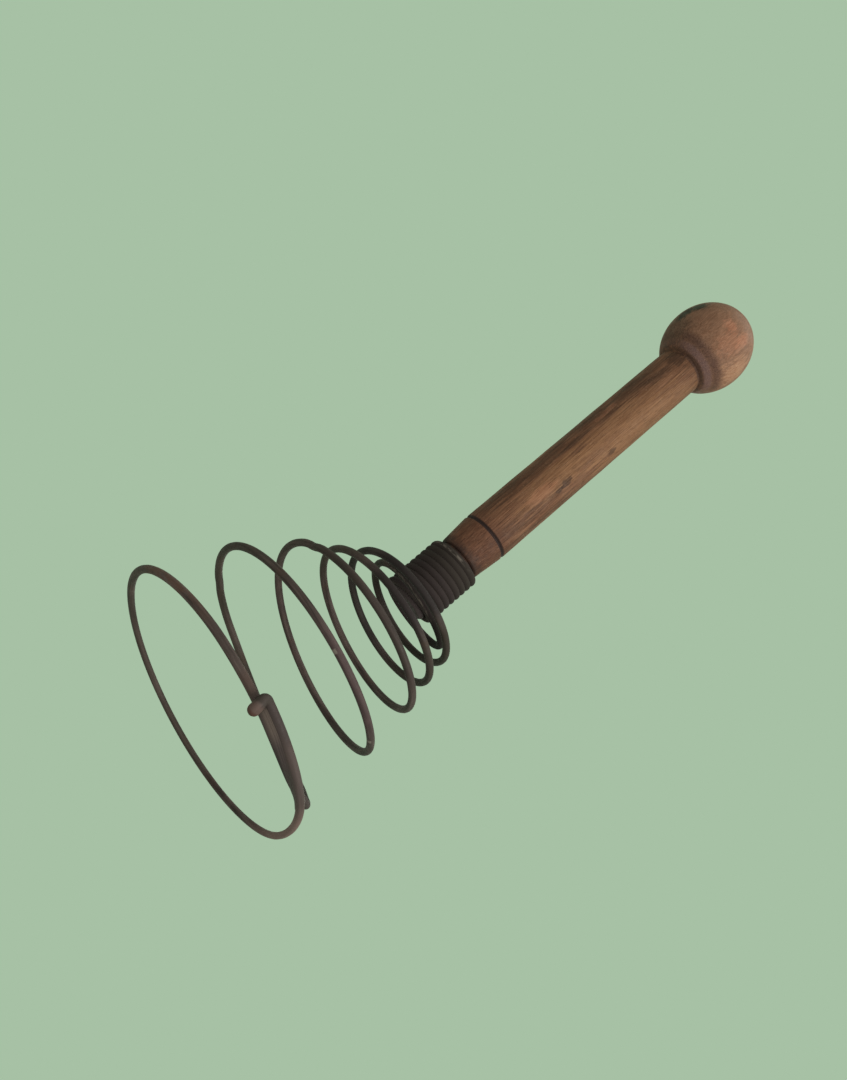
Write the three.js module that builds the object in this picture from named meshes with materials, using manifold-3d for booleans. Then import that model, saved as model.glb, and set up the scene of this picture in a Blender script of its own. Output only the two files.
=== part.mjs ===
import * as THREE from "three";
import { mergeVertices } from "three/addons/utils/BufferGeometryUtils.js";
import Module from "manifold-3d";

// Spiral whisk: a turned wooden handle with a ball knob, and one steel wire that is wound on the
// handle's tenon, opens into a cone of free turns and closes in a flat ring that clasps itself.
// Millimetres, +Z up. The whisk stands on its ring, the handle leans towards +X, and the origin is
// on the standing surface under the middle of the part.

// Wire
const WIRE_D = 2.4;
const FLAT_DEPTH = WIRE_D / 10;       // flat worn under the ring and the clasp
const CLEARANCE = 0.3;                // between wood and wire
const WINDING_GAP = 0.42;             // between neighbouring turns on the tenon
const LAP_GAP = 0.45;                 // between the ring's two ends

// Bottom ring
const RING_R = 45.8;                  // to the middle of the wire
const RING_OUT_OF_ROUND = 0.8;
const RING_LONG_WAY = 148;            // direction in which the ring is widest, degrees
const START_ANGLE = -48.8;            // direction of turn 0, degrees

// Free turns: turn number, height above the ring, radius
const TURN_SIZES = [
  [1.42, 1.1, 45.1],
  [1.6, 12.5, 43.7],
  [1.8, 24.7, 42.1],
  [2.25, 31.8, 38.7],
  [3, 46.0, 34.1],
  [4, 59.7, 27.7],
  [5, 66.2, 23.1],
  [5.5, 72.6, 21.1],
  [6, 72.5, 19.4],
  [6.5, 74.5, 16.8],
];

// Free turns: turn number, middle of the turn in x and y, tip of its plane towards x and y in degrees
const TURN_PLACES = [
  [1.42, 0.3, 0.1, 17.2, -1.0],
  [2.25, 6.2, 4.7, 4.5, 5.6],
  [3, 7.5, 7.5, 3.2, 3.6],
  [4, 7.3, 8.8, 7.4, 2.8],
  [5, 10.2, 11.6, 5.0, 2.8],
  [6, 6.0, 11.7, 9.0, 5.2],
  [6.8, 6.9, 8.8, 19.0, 0.2],
];

// Winding on the tenon
const WINDING_FROM = 7;               // turn number
const WINDING_TURNS = 7.6;
const WINDING_X = 6.9;                // middle of its first turn, from the middle of the ring
const WINDING_Y = 8.6;
const WINDING_HEIGHT = 76.1;
const HANDLE_LEAN = 19.4;             // degrees
const WIRE_END_DEPTH = 5.5;           // of the wire's end in the tenon

// Lap and clasp of the ring
const LAP_OUTSET = 0.75;              // how far out the upper end lies, as a share of the lap step
const LAP_FALL_FROM = 0.37;           // turn at which the upper end starts to come down
const LAP_FALL_TO = 0.49;
// The lower end ducks inside the upper one and climbs past it: turn number, rise, and shift to the
// inside as a share of the lap step
const CLIMB = [
  [1.16, 0, 0],
  [1.22, 0, 0.25],
  [1.28, 0, 0.25],
  [1.31, 0.5, 0.55],
  [1.34, 1.4, 0.7],
  [1.37, 3.1, 0.8],
  [1.4, 5.8, 1.3],
  [1.43, 8.4, 1.8],
  [1.46, 10.9, 2.0],
  [1.5, 14.4, 1.65],
];
const CLIMB_BLENDS_FROM = 1.42;       // turns over which the climb passes into the cone
const CLIMB_BLENDS_TO = 1.54;
const CLASP_FROM = 0.2545;            // turn at which the upper end bends round the lower one
const CLASP_BEND_R = 2.0;
const CLASP_BEND_ANGLE = 108;
const CLASP_TAIL = 3.5;
const CLASP_END_D = 3.4;              // the end is hammered out a little
const REST_DIRECTION = -84;           // of the spot on the ring that stands opposite the clasp, degrees

// Handle, lengths along its axis from the middle of the winding's first turn
const TENON_D = 15.2;
const TENON_BELOW = 2;
const TENON_CHAMFER = 1;
const NECK_SHOULDER = 1.05;           // step from the tenon out to the neck
const NECK_EDGE_R = 0.6;
const SHAFT_LOW_D = 19.3;
const SHAFT_TOP_D = 19.0;
const GROOVE_AT = 35.8;
const GROOVE_WIDTH = 1.8;
const GROOVE_DEPTH = 1.0;
const BALL_AT = 158;
const BALL_D = 37;
const COVE_WIDTH = 1.6;               // ring cut where the shaft meets the ball
const COVE_DEPTH = 0.9;

// Fineness of the surfaces
const PLAIN_RING_AT = 0.8;            // turn in the middle of the plain ring
const SECOND_TURN_AT = 1.9;           // turn from which the bends are easy again
const WIRE_SIDES = 8;
const STEPS_A_TURN = 36;
const WINDING_STEPS_A_TURN = 24;
const BEND_STEPS = 6;
const HANDLE_SEGMENTS = 48;
const BALL_STEPS = 14;
const DOME_SHARES = [0.45, 0.8, 0.97]; // of the end's radius, where a dome's sections stand
const TANGENT_STEP = 0.001;           // turns over which the wire's direction is taken
const GAP_PARTS = 4;                  // parts of each step in which the least gap is looked for
const GAP_APART = 4 * WIRE_D;         // length along the wire within which it is its own neighbour

const WIRE_R = WIRE_D / 2;
const WINDING_R = TENON_D / 2 + CLEARANCE + WIRE_R;
const WINDING_PITCH = WIRE_D + WINDING_GAP;
const WINDING_TO = WINDING_FROM + WINDING_TURNS;
const WINDING_LENGTH = WINDING_PITCH * WINDING_TURNS;
const LAP_STEP = (WIRE_D + LAP_GAP) / Math.SQRT2;
const HOLE_R = WIRE_R + CLEARANCE;
const LEAN = THREE.MathUtils.degToRad(HANDLE_LEAN);
const UP = new THREE.Vector3(0, 0, 1);
const HANDLE_AXIS = new THREE.Vector3(Math.sin(LEAN), 0, Math.cos(LEAN));
const WINDING_START = new THREE.Vector3(WINDING_X, WINDING_Y, WINDING_HEIGHT);
const WINDING_END = WINDING_START.clone().addScaledVector(HANDLE_AXIS, WINDING_LENGTH);

// A smooth curve through the given points of a graph that never swings past them.
function smoothThrough(xs, ys) {
  const last = xs.length - 1;
  const slopes = xs.slice(1).map((x, i) => (ys[i + 1] - ys[i]) / (x - xs[i]));
  const grades = xs.map((x, i) => {
    if (i === 0) return slopes[0];
    if (i === last) return slopes[last - 1];
    if (slopes[i - 1] * slopes[i] <= 0) return 0;
    const before = x - xs[i - 1];
    const after = xs[i + 1] - x;
    const w1 = 2 * after + before;
    const w2 = after + 2 * before;
    return (w1 + w2) / (w1 / slopes[i - 1] + w2 / slopes[i]);
  });
  return (x) => {
    const at = THREE.MathUtils.clamp(x, xs[0], xs[last]);
    let i = 0;
    while (i < last - 1 && at > xs[i + 1]) i += 1;
    const span = xs[i + 1] - xs[i];
    const t = (at - xs[i]) / span;
    const rest = 1 - t;
    const ends = ys[i] * (1 + 2 * t) * rest * rest + ys[i + 1] * (3 - 2 * t) * t * t;
    return ends + span * (grades[i] * t * rest * rest - grades[i + 1] * t * t * rest);
  };
}

// The columns of the two lists of free turns, carried on to the winding's first and last turn.
function turnCurve(rows, column, first, end) {
  const turns = [...rows.map((row) => row[0]), WINDING_FROM, WINDING_TO];
  const values = [...rows.map((row) => row[column]), first, end];
  return smoothThrough(turns, values);
}

const heightOf = turnCurve(TURN_SIZES, 1, WINDING_START.z, WINDING_END.z);
const radiusOf = turnCurve(TURN_SIZES, 2, WINDING_R, WINDING_R);
const middleXOf = turnCurve(TURN_PLACES, 1, WINDING_START.x, WINDING_END.x);
const middleYOf = turnCurve(TURN_PLACES, 2, WINDING_START.y, WINDING_END.y);
const tipXOf = turnCurve(TURN_PLACES, 3, HANDLE_LEAN, HANDLE_LEAN);
const tipYOf = turnCurve(TURN_PLACES, 4, 0, 0);
const climbTurns = CLIMB.map((row) => row[0]);
const riseOf = smoothThrough(climbTurns, CLIMB.map((row) => row[1]));
const insetOf = smoothThrough(climbTurns, CLIMB.map((row) => row[2]));

function angleOf(turn) {
  return THREE.MathUtils.degToRad(START_ANGLE + 360 * turn);
}

function outwardOf(turn) {
  return new THREE.Vector3(Math.cos(angleOf(turn)), Math.sin(angleOf(turn)), 0);
}

// The flat ring, with its upper end lifted and set out at the lap and its lower end climbing inside.
function ringPoint(turn) {
  const longWay = THREE.MathUtils.degToRad(RING_LONG_WAY);
  const radius = RING_R + RING_OUT_OF_ROUND * Math.cos(2 * (angleOf(turn) - longWay));
  const lifted = 1 - THREE.MathUtils.smoothstep(turn, LAP_FALL_FROM, LAP_FALL_TO);
  const shift = (lifted * LAP_OUTSET - insetOf(turn)) * LAP_STEP;
  const point = outwardOf(turn).multiplyScalar(radius + shift);
  point.z = lifted * LAP_STEP + riseOf(turn);
  return point;
}

// The cone's free turns and the winding, each turn round its own middle in its own tipped plane.
function coilPoint(turn) {
  const tipX = THREE.MathUtils.degToRad(tipXOf(turn));
  const tipY = THREE.MathUtils.degToRad(tipYOf(turn));
  const normal = new THREE.Vector3(Math.tan(tipX), Math.tan(tipY), 1).normalize();
  const across = new THREE.Vector3(1, 0, 0).projectOnPlane(normal).normalize();
  const along = new THREE.Vector3().crossVectors(normal, across);
  const point = new THREE.Vector3(middleXOf(turn), middleYOf(turn), heightOf(turn));
  if (turn > WINDING_FROM) {
    point.lerpVectors(WINDING_START, WINDING_END, (turn - WINDING_FROM) / WINDING_TURNS);
  }
  point.addScaledVector(across, radiusOf(turn) * Math.cos(angleOf(turn)));
  point.addScaledVector(along, radiusOf(turn) * Math.sin(angleOf(turn)));
  return point;
}

function wirePoint(turn) {
  const blend = THREE.MathUtils.smoothstep(turn, CLIMB_BLENDS_FROM, CLIMB_BLENDS_TO);
  return ringPoint(turn).lerp(coilPoint(turn), blend);
}

// The clasp bends off the ring's upper end, round the outside of the lower end and under it.
// It is laid out flat as a bend and a tail, and rolled round the lower end.
function claspPoints() {
  const bend = THREE.MathUtils.degToRad(CLASP_BEND_ANGLE);
  const flat = [];
  for (let i = 1; i <= 2 * BEND_STEPS; i += 1) {
    const a = (bend * i) / (2 * BEND_STEPS);
    flat.push([CLASP_BEND_R * Math.sin(a), CLASP_BEND_R * (1 - Math.cos(a)), CLASP_BEND_R * a]);
  }
  const [bendBack, bendRound, bendLength] = flat[flat.length - 1];
  for (let i = 1; i <= BEND_STEPS; i += 1) {
    const run = (CLASP_TAIL * i) / BEND_STEPS;
    flat.push([bendBack + run * Math.cos(bend), bendRound + run * Math.sin(bend), bendLength + run]);
  }
  const length = bendLength + CLASP_TAIL;
  return flat.map(([back, round, run]) => {
    const radius = THREE.MathUtils.lerp(WIRE_R, CLASP_END_D / 2, run / length);
    const reach = WIRE_R + LAP_GAP + radius;
    const turn = CLASP_FROM + 1 - back / (2 * Math.PI * RING_R);
    const angle = Math.PI / 4 - round / reach;
    const point = wirePoint(turn).addScaledVector(outwardOf(turn), reach * Math.cos(angle));
    point.z += reach * Math.sin(angle);
    return { point, radius };
  });
}

// The wire's other end leaves the winding, bends inwards and runs into the tenon's side.
function innerEndPoints() {
  const start = wirePoint(WINDING_TO);
  const inward = WINDING_END.clone().sub(start).normalize();
  const onward = start.clone().sub(wirePoint(WINDING_TO - TANGENT_STEP)).projectOnPlane(inward).normalize();
  const points = [];
  for (let i = 1; i <= BEND_STEPS; i += 1) {
    const a = (Math.PI / 2) * (i / BEND_STEPS);
    const point = start.clone().addScaledVector(onward, HOLE_R * Math.sin(a));
    points.push(point.addScaledVector(inward, HOLE_R * (1 - Math.cos(a))));
  }
  const mouth = points[points.length - 1];
  points.push(mouth.clone().addScaledVector(inward, WIRE_END_DEPTH));
  return { points, mouth, inward };
}

// A domed end: the section closes in over its own radius.
function dome(end, before) {
  const direction = end.point.clone().sub(before.point).normalize();
  return DOME_SHARES.map((share) => ({
    point: end.point.clone().addScaledVector(direction, share * end.radius),
    radius: end.radius * Math.sqrt(1 - share * share),
  }));
}

function turnSteps(from, to, stepsATurn) {
  const count = Math.ceil((to - from) * stepsATurn);
  return Array.from({ length: count }, (_, i) => from + ((to - from) * i) / count);
}

const claspRoute = claspPoints();
const innerEnd = innerEndPoints();
const wireTurns = [
  ...turnSteps(CLASP_FROM, LAP_FALL_TO, 2 * STEPS_A_TURN),
  ...turnSteps(LAP_FALL_TO, CLIMB[0][0], STEPS_A_TURN),
  ...turnSteps(CLIMB[0][0], SECOND_TURN_AT, 2 * STEPS_A_TURN),
  ...turnSteps(SECOND_TURN_AT, WINDING_FROM, STEPS_A_TURN),
  ...turnSteps(WINDING_FROM, WINDING_TO, WINDING_STEPS_A_TURN),
  WINDING_TO,
];
const claspEnd = dome(claspRoute[claspRoute.length - 1], claspRoute[claspRoute.length - 2]);
const claspStations = [...claspRoute, ...claspEnd].reverse();
const route = [
  ...claspStations,
  ...wireTurns.map((turn) => ({ point: wirePoint(turn), radius: WIRE_R })),
  ...innerEnd.points.map((point) => ({ point, radius: WIRE_R })),
];
const plainRing = claspStations.length + wireTurns.findIndex((turn) => turn > PLAIN_RING_AT);

// Unit vectors square to the wire at each station, carried along it without twist both ways from
// the plain ring, where they point straight up.
function sideVectors(stations, tangents) {
  const sides = [];
  sides[plainRing] = UP.clone();
  for (let i = plainRing + 1; i < stations.length; i += 1) {
    sides[i] = sides[i - 1].clone().projectOnPlane(tangents[i]).normalize();
  }
  for (let i = plainRing - 1; i >= 0; i -= 1) {
    sides[i] = sides[i + 1].clone().projectOnPlane(tangents[i]).normalize();
  }
  return sides;
}

// A closed tube with its own radius at each station.
function tube(stations, corners) {
  const tangents = stations.map((_, i) => {
    const from = stations[Math.max(i - 1, 0)].point;
    const to = stations[Math.min(i + 1, stations.length - 1)].point;
    return to.clone().sub(from).normalize();
  });
  const sides = sideVectors(stations, tangents);
  const positions = [];
  const faces = [];
  stations.forEach(({ point, radius }, i) => {
    const other = new THREE.Vector3().crossVectors(tangents[i], sides[i]);
    const here = i * corners;
    for (let k = 0; k < corners; k += 1) {
      const a = (2 * Math.PI * k) / corners;
      const next = (k + 1) % corners;
      const corner = point.clone().addScaledVector(sides[i], radius * Math.cos(a));
      positions.push(...corner.addScaledVector(other, radius * Math.sin(a)));
      if (i > 0) {
        faces.push(here + k, here + k - corners, here + next - corners);
        faces.push(here + k, here + next - corners, here + next);
      }
    }
  });
  const end = (stations.length - 1) * corners;
  for (let k = 1; k < corners - 1; k += 1) {
    faces.push(0, k + 1, k);
    faces.push(end, end + k, end + k + 1);
  }
  const geometry = new THREE.BufferGeometry();
  geometry.setAttribute("position", new THREE.Float32BufferAttribute(positions, 3));
  geometry.setIndex(faces);
  return geometry;
}

const wireTube = tube(route, WIRE_SIDES);

// The clasp reaches below the ring, so the whisk stands on the clasp and on the ring opposite it.
// The wire is tipped until both touch, then turned until the handle leans straight towards +X.
function standingTurn() {
  const restWay = THREE.MathUtils.degToRad(REST_DIRECTION);
  const restSide = new THREE.Vector3(Math.cos(restWay), Math.sin(restWay), 0);
  const corner = new THREE.Vector3();
  let tip = 0;
  for (let i = 0; i < claspStations.length * WIRE_SIDES; i += 1) {
    corner.fromBufferAttribute(wireTube.attributes.position, i);
    tip = Math.max(tip, Math.asin((-WIRE_R - corner.z) / (RING_R - corner.dot(restSide))));
  }
  const tipAxis = new THREE.Vector3().crossVectors(UP, restSide);
  const tipped = new THREE.Quaternion().setFromAxisAngle(tipAxis, tip);
  const leaning = HANDLE_AXIS.clone().applyQuaternion(tipped);
  const turned = new THREE.Quaternion().setFromAxisAngle(UP, -Math.atan2(leaning.y, leaning.x));
  return turned.multiply(tipped);
}

const standing = standingTurn();
wireTube.applyQuaternion(standing);
wireTube.computeBoundingBox();
const lift = new THREE.Vector3(0, 0, -wireTube.boundingBox.min.z - FLAT_DEPTH);
wireTube.translate(lift.x, lift.y, lift.z);

function place(point) {
  return point.clone().applyQuaternion(standing).add(lift);
}

// Smallest space between stretches of the wire that are not next to each other along it.
function leastGap(stations) {
  const runs = [0];
  stations.slice(1).forEach(({ point }, i) => runs.push(runs[i] + point.distanceTo(stations[i].point)));
  let least = Infinity;
  stations.forEach((one, i) => {
    for (let j = i + 1; j < stations.length; j += 1) {
      if (runs[j] - runs[i] > GAP_APART) {
        const gap = one.point.distanceTo(stations[j].point) - one.radius - stations[j].radius;
        least = Math.min(least, gap);
      }
    }
  });
  return least;
}

function fineRoute(stations, parts) {
  return stations.slice(1).flatMap((to, i) => {
    const from = stations[i];
    return Array.from({ length: parts }, (_, k) => ({
      point: from.point.clone().lerp(to.point, k / parts),
      radius: THREE.MathUtils.lerp(from.radius, to.radius, k / parts),
    }));
  });
}

console.log("least gap of the wire to itself, mm:", leastGap(fineRoute(route, GAP_PARTS)).toFixed(3));

// Solids for cutting
const wasm = await Module();
wasm.setup();

function toSolid(geometry) {
  const bare = geometry.clone();
  bare.deleteAttribute("normal");
  bare.deleteAttribute("uv");
  const merged = mergeVertices(bare);
  const vertProperties = new Float32Array(merged.attributes.position.array);
  const triVerts = new Uint32Array(merged.index.array);
  return new wasm.Manifold(new wasm.Mesh({ numProp: 3, vertProperties, triVerts }));
}

function toGeometry(solid) {
  const mesh = solid.getMesh();
  const geometry = new THREE.BufferGeometry();
  geometry.setAttribute("position", new THREE.BufferAttribute(mesh.vertProperties, 3));
  geometry.setIndex(new THREE.BufferAttribute(mesh.triVerts, 1));
  geometry.computeVertexNormals();
  return geometry;
}

// The wire, flattened where it stands
function spiralWire() {
  const reach = 3 * RING_R;             // wider than the whisk
  const below = new THREE.BoxGeometry(reach, reach, reach).translate(0, 0, -reach / 2);
  const geometry = toGeometry(toSolid(wireTube).subtract(toSolid(below)));
  const steel = new THREE.MeshStandardMaterial({ color: 0x4c423c, roughness: 0.55, metalness: 0.85 });
  const mesh = new THREE.Mesh(geometry, steel);
  mesh.name = "spiral_wire";
  return mesh;
}

// The handle's outline from the tenon's end to the top of the ball: radius and length
function handleOutline() {
  const tenonR = TENON_D / 2;
  const neckR = tenonR + NECK_SHOULDER;
  const neckAt = WINDING_LENGTH + WIRE_R + CLEARANCE;
  const lowR = SHAFT_LOW_D / 2;
  const topR = SHAFT_TOP_D / 2;
  const ballR = BALL_D / 2;
  const shaftEnd = BALL_AT - Math.sqrt(ballR ** 2 - topR ** 2);
  const ballStart = Math.asin((shaftEnd + COVE_WIDTH / 2 - BALL_AT) / ballR);
  const outline = [
    [0, -TENON_BELOW],
    [tenonR - TENON_CHAMFER, -TENON_BELOW],
    [tenonR, TENON_CHAMFER - TENON_BELOW],
    [tenonR, neckAt],
    [neckR - NECK_EDGE_R, neckAt],
    [neckR, neckAt + NECK_EDGE_R],
    [lowR, GROOVE_AT - GROOVE_WIDTH / 2],
    [lowR - GROOVE_DEPTH, GROOVE_AT],
    [lowR, GROOVE_AT + GROOVE_WIDTH / 2],
    [topR, shaftEnd - COVE_WIDTH / 2],
    [topR - COVE_DEPTH, shaftEnd],
  ];
  for (let i = 0; i < BALL_STEPS; i += 1) {
    const a = THREE.MathUtils.lerp(ballStart, Math.PI / 2, i / BALL_STEPS);
    outline.push([ballR * Math.cos(a), BALL_AT + ballR * Math.sin(a)]);
  }
  outline.push([0, BALL_AT + ballR]);
  return outline.map(([radius, length]) => new THREE.Vector2(radius, length));
}

// The handle, with the hole that takes the wire's end
function handle() {
  const turnedWood = new THREE.LatheGeometry(handleOutline(), HANDLE_SEGMENTS);
  const leanAxis = HANDLE_AXIS.clone().applyQuaternion(standing);
  const stand = new THREE.Quaternion().setFromUnitVectors(new THREE.Vector3(0, 1, 0), leanAxis);
  turnedWood.applyQuaternion(stand);
  const foot = place(WINDING_START);
  const drilled = WIRE_END_DEPTH + CLEARANCE + WINDING_R;
  const drill = new THREE.CylinderGeometry(HOLE_R, HOLE_R, drilled, HANDLE_SEGMENTS / 2);
  const inward = innerEnd.inward.clone().applyQuaternion(standing);
  drill.applyQuaternion(new THREE.Quaternion().setFromUnitVectors(new THREE.Vector3(0, 1, 0), inward));
  const bottom = place(innerEnd.mouth).addScaledVector(inward, WIRE_END_DEPTH + CLEARANCE);
  const drillMiddle = bottom.addScaledVector(inward, -drilled / 2).sub(foot);
  drill.translate(drillMiddle.x, drillMiddle.y, drillMiddle.z);
  const geometry = toGeometry(toSolid(turnedWood).subtract(toSolid(drill)));
  const wood = new THREE.MeshStandardMaterial({ color: 0x7d5742, roughness: 0.6, metalness: 0 });
  const mesh = new THREE.Mesh(geometry, wood);
  mesh.name = "handle";
  mesh.position.copy(foot);
  return mesh;
}

const whisk = new THREE.Group();
whisk.add(spiralWire(), handle());
whisk.updateMatrixWorld(true);
const middle = new THREE.Box3().setFromObject(whisk, true).getCenter(new THREE.Vector3());
whisk.position.set(-middle.x, -middle.y, 0);

export default whisk;
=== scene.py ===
"""The looks of an old spiral whisk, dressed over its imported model.

A turned wooden handle with a ball knob carries one steel wire. The wire is wound on the handle's
tenon, opens into a cone of free turns and closes in a flat ring that clasps itself. Sizes are in
millimetres and the meshes in metres, +Z up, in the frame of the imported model.
"""

import logging
import math
from collections.abc import Sequence
from dataclasses import dataclass, field
from enum import Enum

import bpy
import numpy as np
from mathutils import Euler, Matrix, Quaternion, Vector


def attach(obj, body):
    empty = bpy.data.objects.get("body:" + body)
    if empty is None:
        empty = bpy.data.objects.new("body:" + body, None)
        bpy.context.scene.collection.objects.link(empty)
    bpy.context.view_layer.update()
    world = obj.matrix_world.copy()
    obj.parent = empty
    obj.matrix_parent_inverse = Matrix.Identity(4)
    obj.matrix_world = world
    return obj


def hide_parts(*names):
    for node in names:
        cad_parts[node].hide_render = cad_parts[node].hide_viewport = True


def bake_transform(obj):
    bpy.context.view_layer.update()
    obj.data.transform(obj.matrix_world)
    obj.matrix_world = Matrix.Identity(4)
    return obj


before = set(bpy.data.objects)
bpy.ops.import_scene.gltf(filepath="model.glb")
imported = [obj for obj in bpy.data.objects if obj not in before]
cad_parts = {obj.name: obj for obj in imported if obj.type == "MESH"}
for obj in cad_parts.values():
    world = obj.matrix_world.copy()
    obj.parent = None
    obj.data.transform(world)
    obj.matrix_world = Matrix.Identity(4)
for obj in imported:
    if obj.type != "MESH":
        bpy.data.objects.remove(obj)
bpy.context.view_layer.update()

log = logging.getLogger("spiral_whisk")

# One millimetre, how near two points of a mesh merge and how near a cut takes a point as on it,
# in metres.
MM = 0.001
WELD = 0.000001
CUT_REACH = 0.0000001
# The least length that another is divided by, in millimetres.
SMALLEST = 0.000001
UP = Vector((0.0, 0.0, 1.0))

Colour = tuple[float, float, float, float]
Feed = bpy.types.NodeSocket | float | Sequence[float]
# Where a mask starts, is full, fades and is gone.
Edges = tuple[float, float, float, float]
Stretch = tuple[float, float, float]
Point2 = tuple[float, float]


class Body(Enum):
    """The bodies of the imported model."""

    WIRE = "wire"
    HANDLE = "handle"


class Slot(Enum):
    """The record's material slots."""

    STEEL = "steel"
    WOOD = "wood"


class MarkKind(Enum):
    """What a local mark on the wood is."""

    STAIN = "stain"
    BARE = "bare"
    # A highlight painted on the wood.
    PALE = "pale"
    WORN = "worn"
    SOOT = "soot"


def srgb(red: int, green: int, blue: int) -> Colour:
    """Turns a colour as a screen shows it into the linear one that a shader takes.

    Args:
        red: Red from 0 to 255.
        green: Green from 0 to 255.
        blue: Blue from 0 to 255.

    Returns:
        The linear colour with an alpha of 1.
    """
    parts = [c / 255 for c in (red, green, blue)]
    # The numbers are the sRGB curve's own.
    linear = [c / 12.92 if c <= 0.04045 else ((c + 0.055) / 1.055) ** 2.4 for c in parts]
    return (linear[0], linear[1], linear[2], 1.0)


def smooth_step(value: float, low: float, high: float) -> float:
    """Rises smoothly from 0 at low to 1 at high."""
    t = min(max((value - low) / (high - low), 0.0), 1.0)
    return t * t * (3 - 2 * t)


class SmoothCurve:
    """A smooth curve through the given points of a graph that never swings past them."""

    def __init__(self, xs: Sequence[float], ys: Sequence[float]) -> None:
        """Takes the points and works out the curve's slope at each.

        Args:
            xs: The places of the points, rising.
            ys: The values there.
        """
        self.xs = list(xs)
        self.ys = list(ys)
        last = len(self.xs) - 1
        spans = [self.xs[i + 1] - self.xs[i] for i in range(last)]
        slopes = [(self.ys[i + 1] - self.ys[i]) / spans[i] for i in range(last)]
        self.grades = [slopes[0]]
        for i in range(1, last):
            self.grades.append(self._grade(spans[i - 1], spans[i], slopes[i - 1], slopes[i]))
        self.grades.append(slopes[-1])

    @staticmethod
    def _grade(before: float, after: float, slope_in: float, slope_out: float) -> float:
        """Gives the slope at a point between two spans.

        Args:
            before: Length of the span before the point.
            after: Length of the span after it.
            slope_in: Slope of the straight line over the span before.
            slope_out: Slope of the straight line over the span after.

        Returns:
            The curve's slope at the point.
        """
        if slope_in * slope_out <= 0:
            return 0.0
        w1 = 2 * after + before
        w2 = after + 2 * before
        return (w1 + w2) / (w1 / slope_in + w2 / slope_out)

    def at(self, x: float) -> float:
        """Gives the curve's value, held at the ends outside its points.

        Args:
            x: The place.

        Returns:
            The value there.
        """
        last = len(self.xs) - 1
        x = min(max(x, self.xs[0]), self.xs[last])
        i = 0
        while i < last - 1 and x > self.xs[i + 1]:
            i += 1
        span = self.xs[i + 1] - self.xs[i]
        t = (x - self.xs[i]) / span
        rest = 1 - t
        ends = self.ys[i] * (1 + 2 * t) * rest * rest + self.ys[i + 1] * (3 - 2 * t) * t * t
        return ends + span * (self.grades[i] * t * rest * rest - self.grades[i + 1] * t * t * rest)


@dataclass(frozen=True)
class Grain:
    """A noise pattern: its repeats a millimetre each way, its fineness and its mask's range."""

    stretch: Stretch
    detail: float
    rough: float
    start: float = 0.0
    full: float = 1.0


@dataclass(frozen=True)
class Patches:
    """Irregular patches: their repeats a millimetre, their range, stretch and strength."""

    scale: float
    start: float
    full: float
    stretch: Stretch = (1.0, 1.0, 1.0)
    strength: float = 1.0


@dataclass(frozen=True)
class Zone:
    """A stretch of a piece with its own colour; some zones are painted light and shade."""

    colour: Colour
    edges: Edges
    strength: float = 1.0
    patchy: bool = False


@dataclass(frozen=True)
class Sheen:
    """How a surface takes the light, and the depth of its relief in metres."""

    roughness: tuple[float, float]
    specular: float
    relief_depth: float
    relief_strength: float
    metallic: float = 0.0


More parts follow.
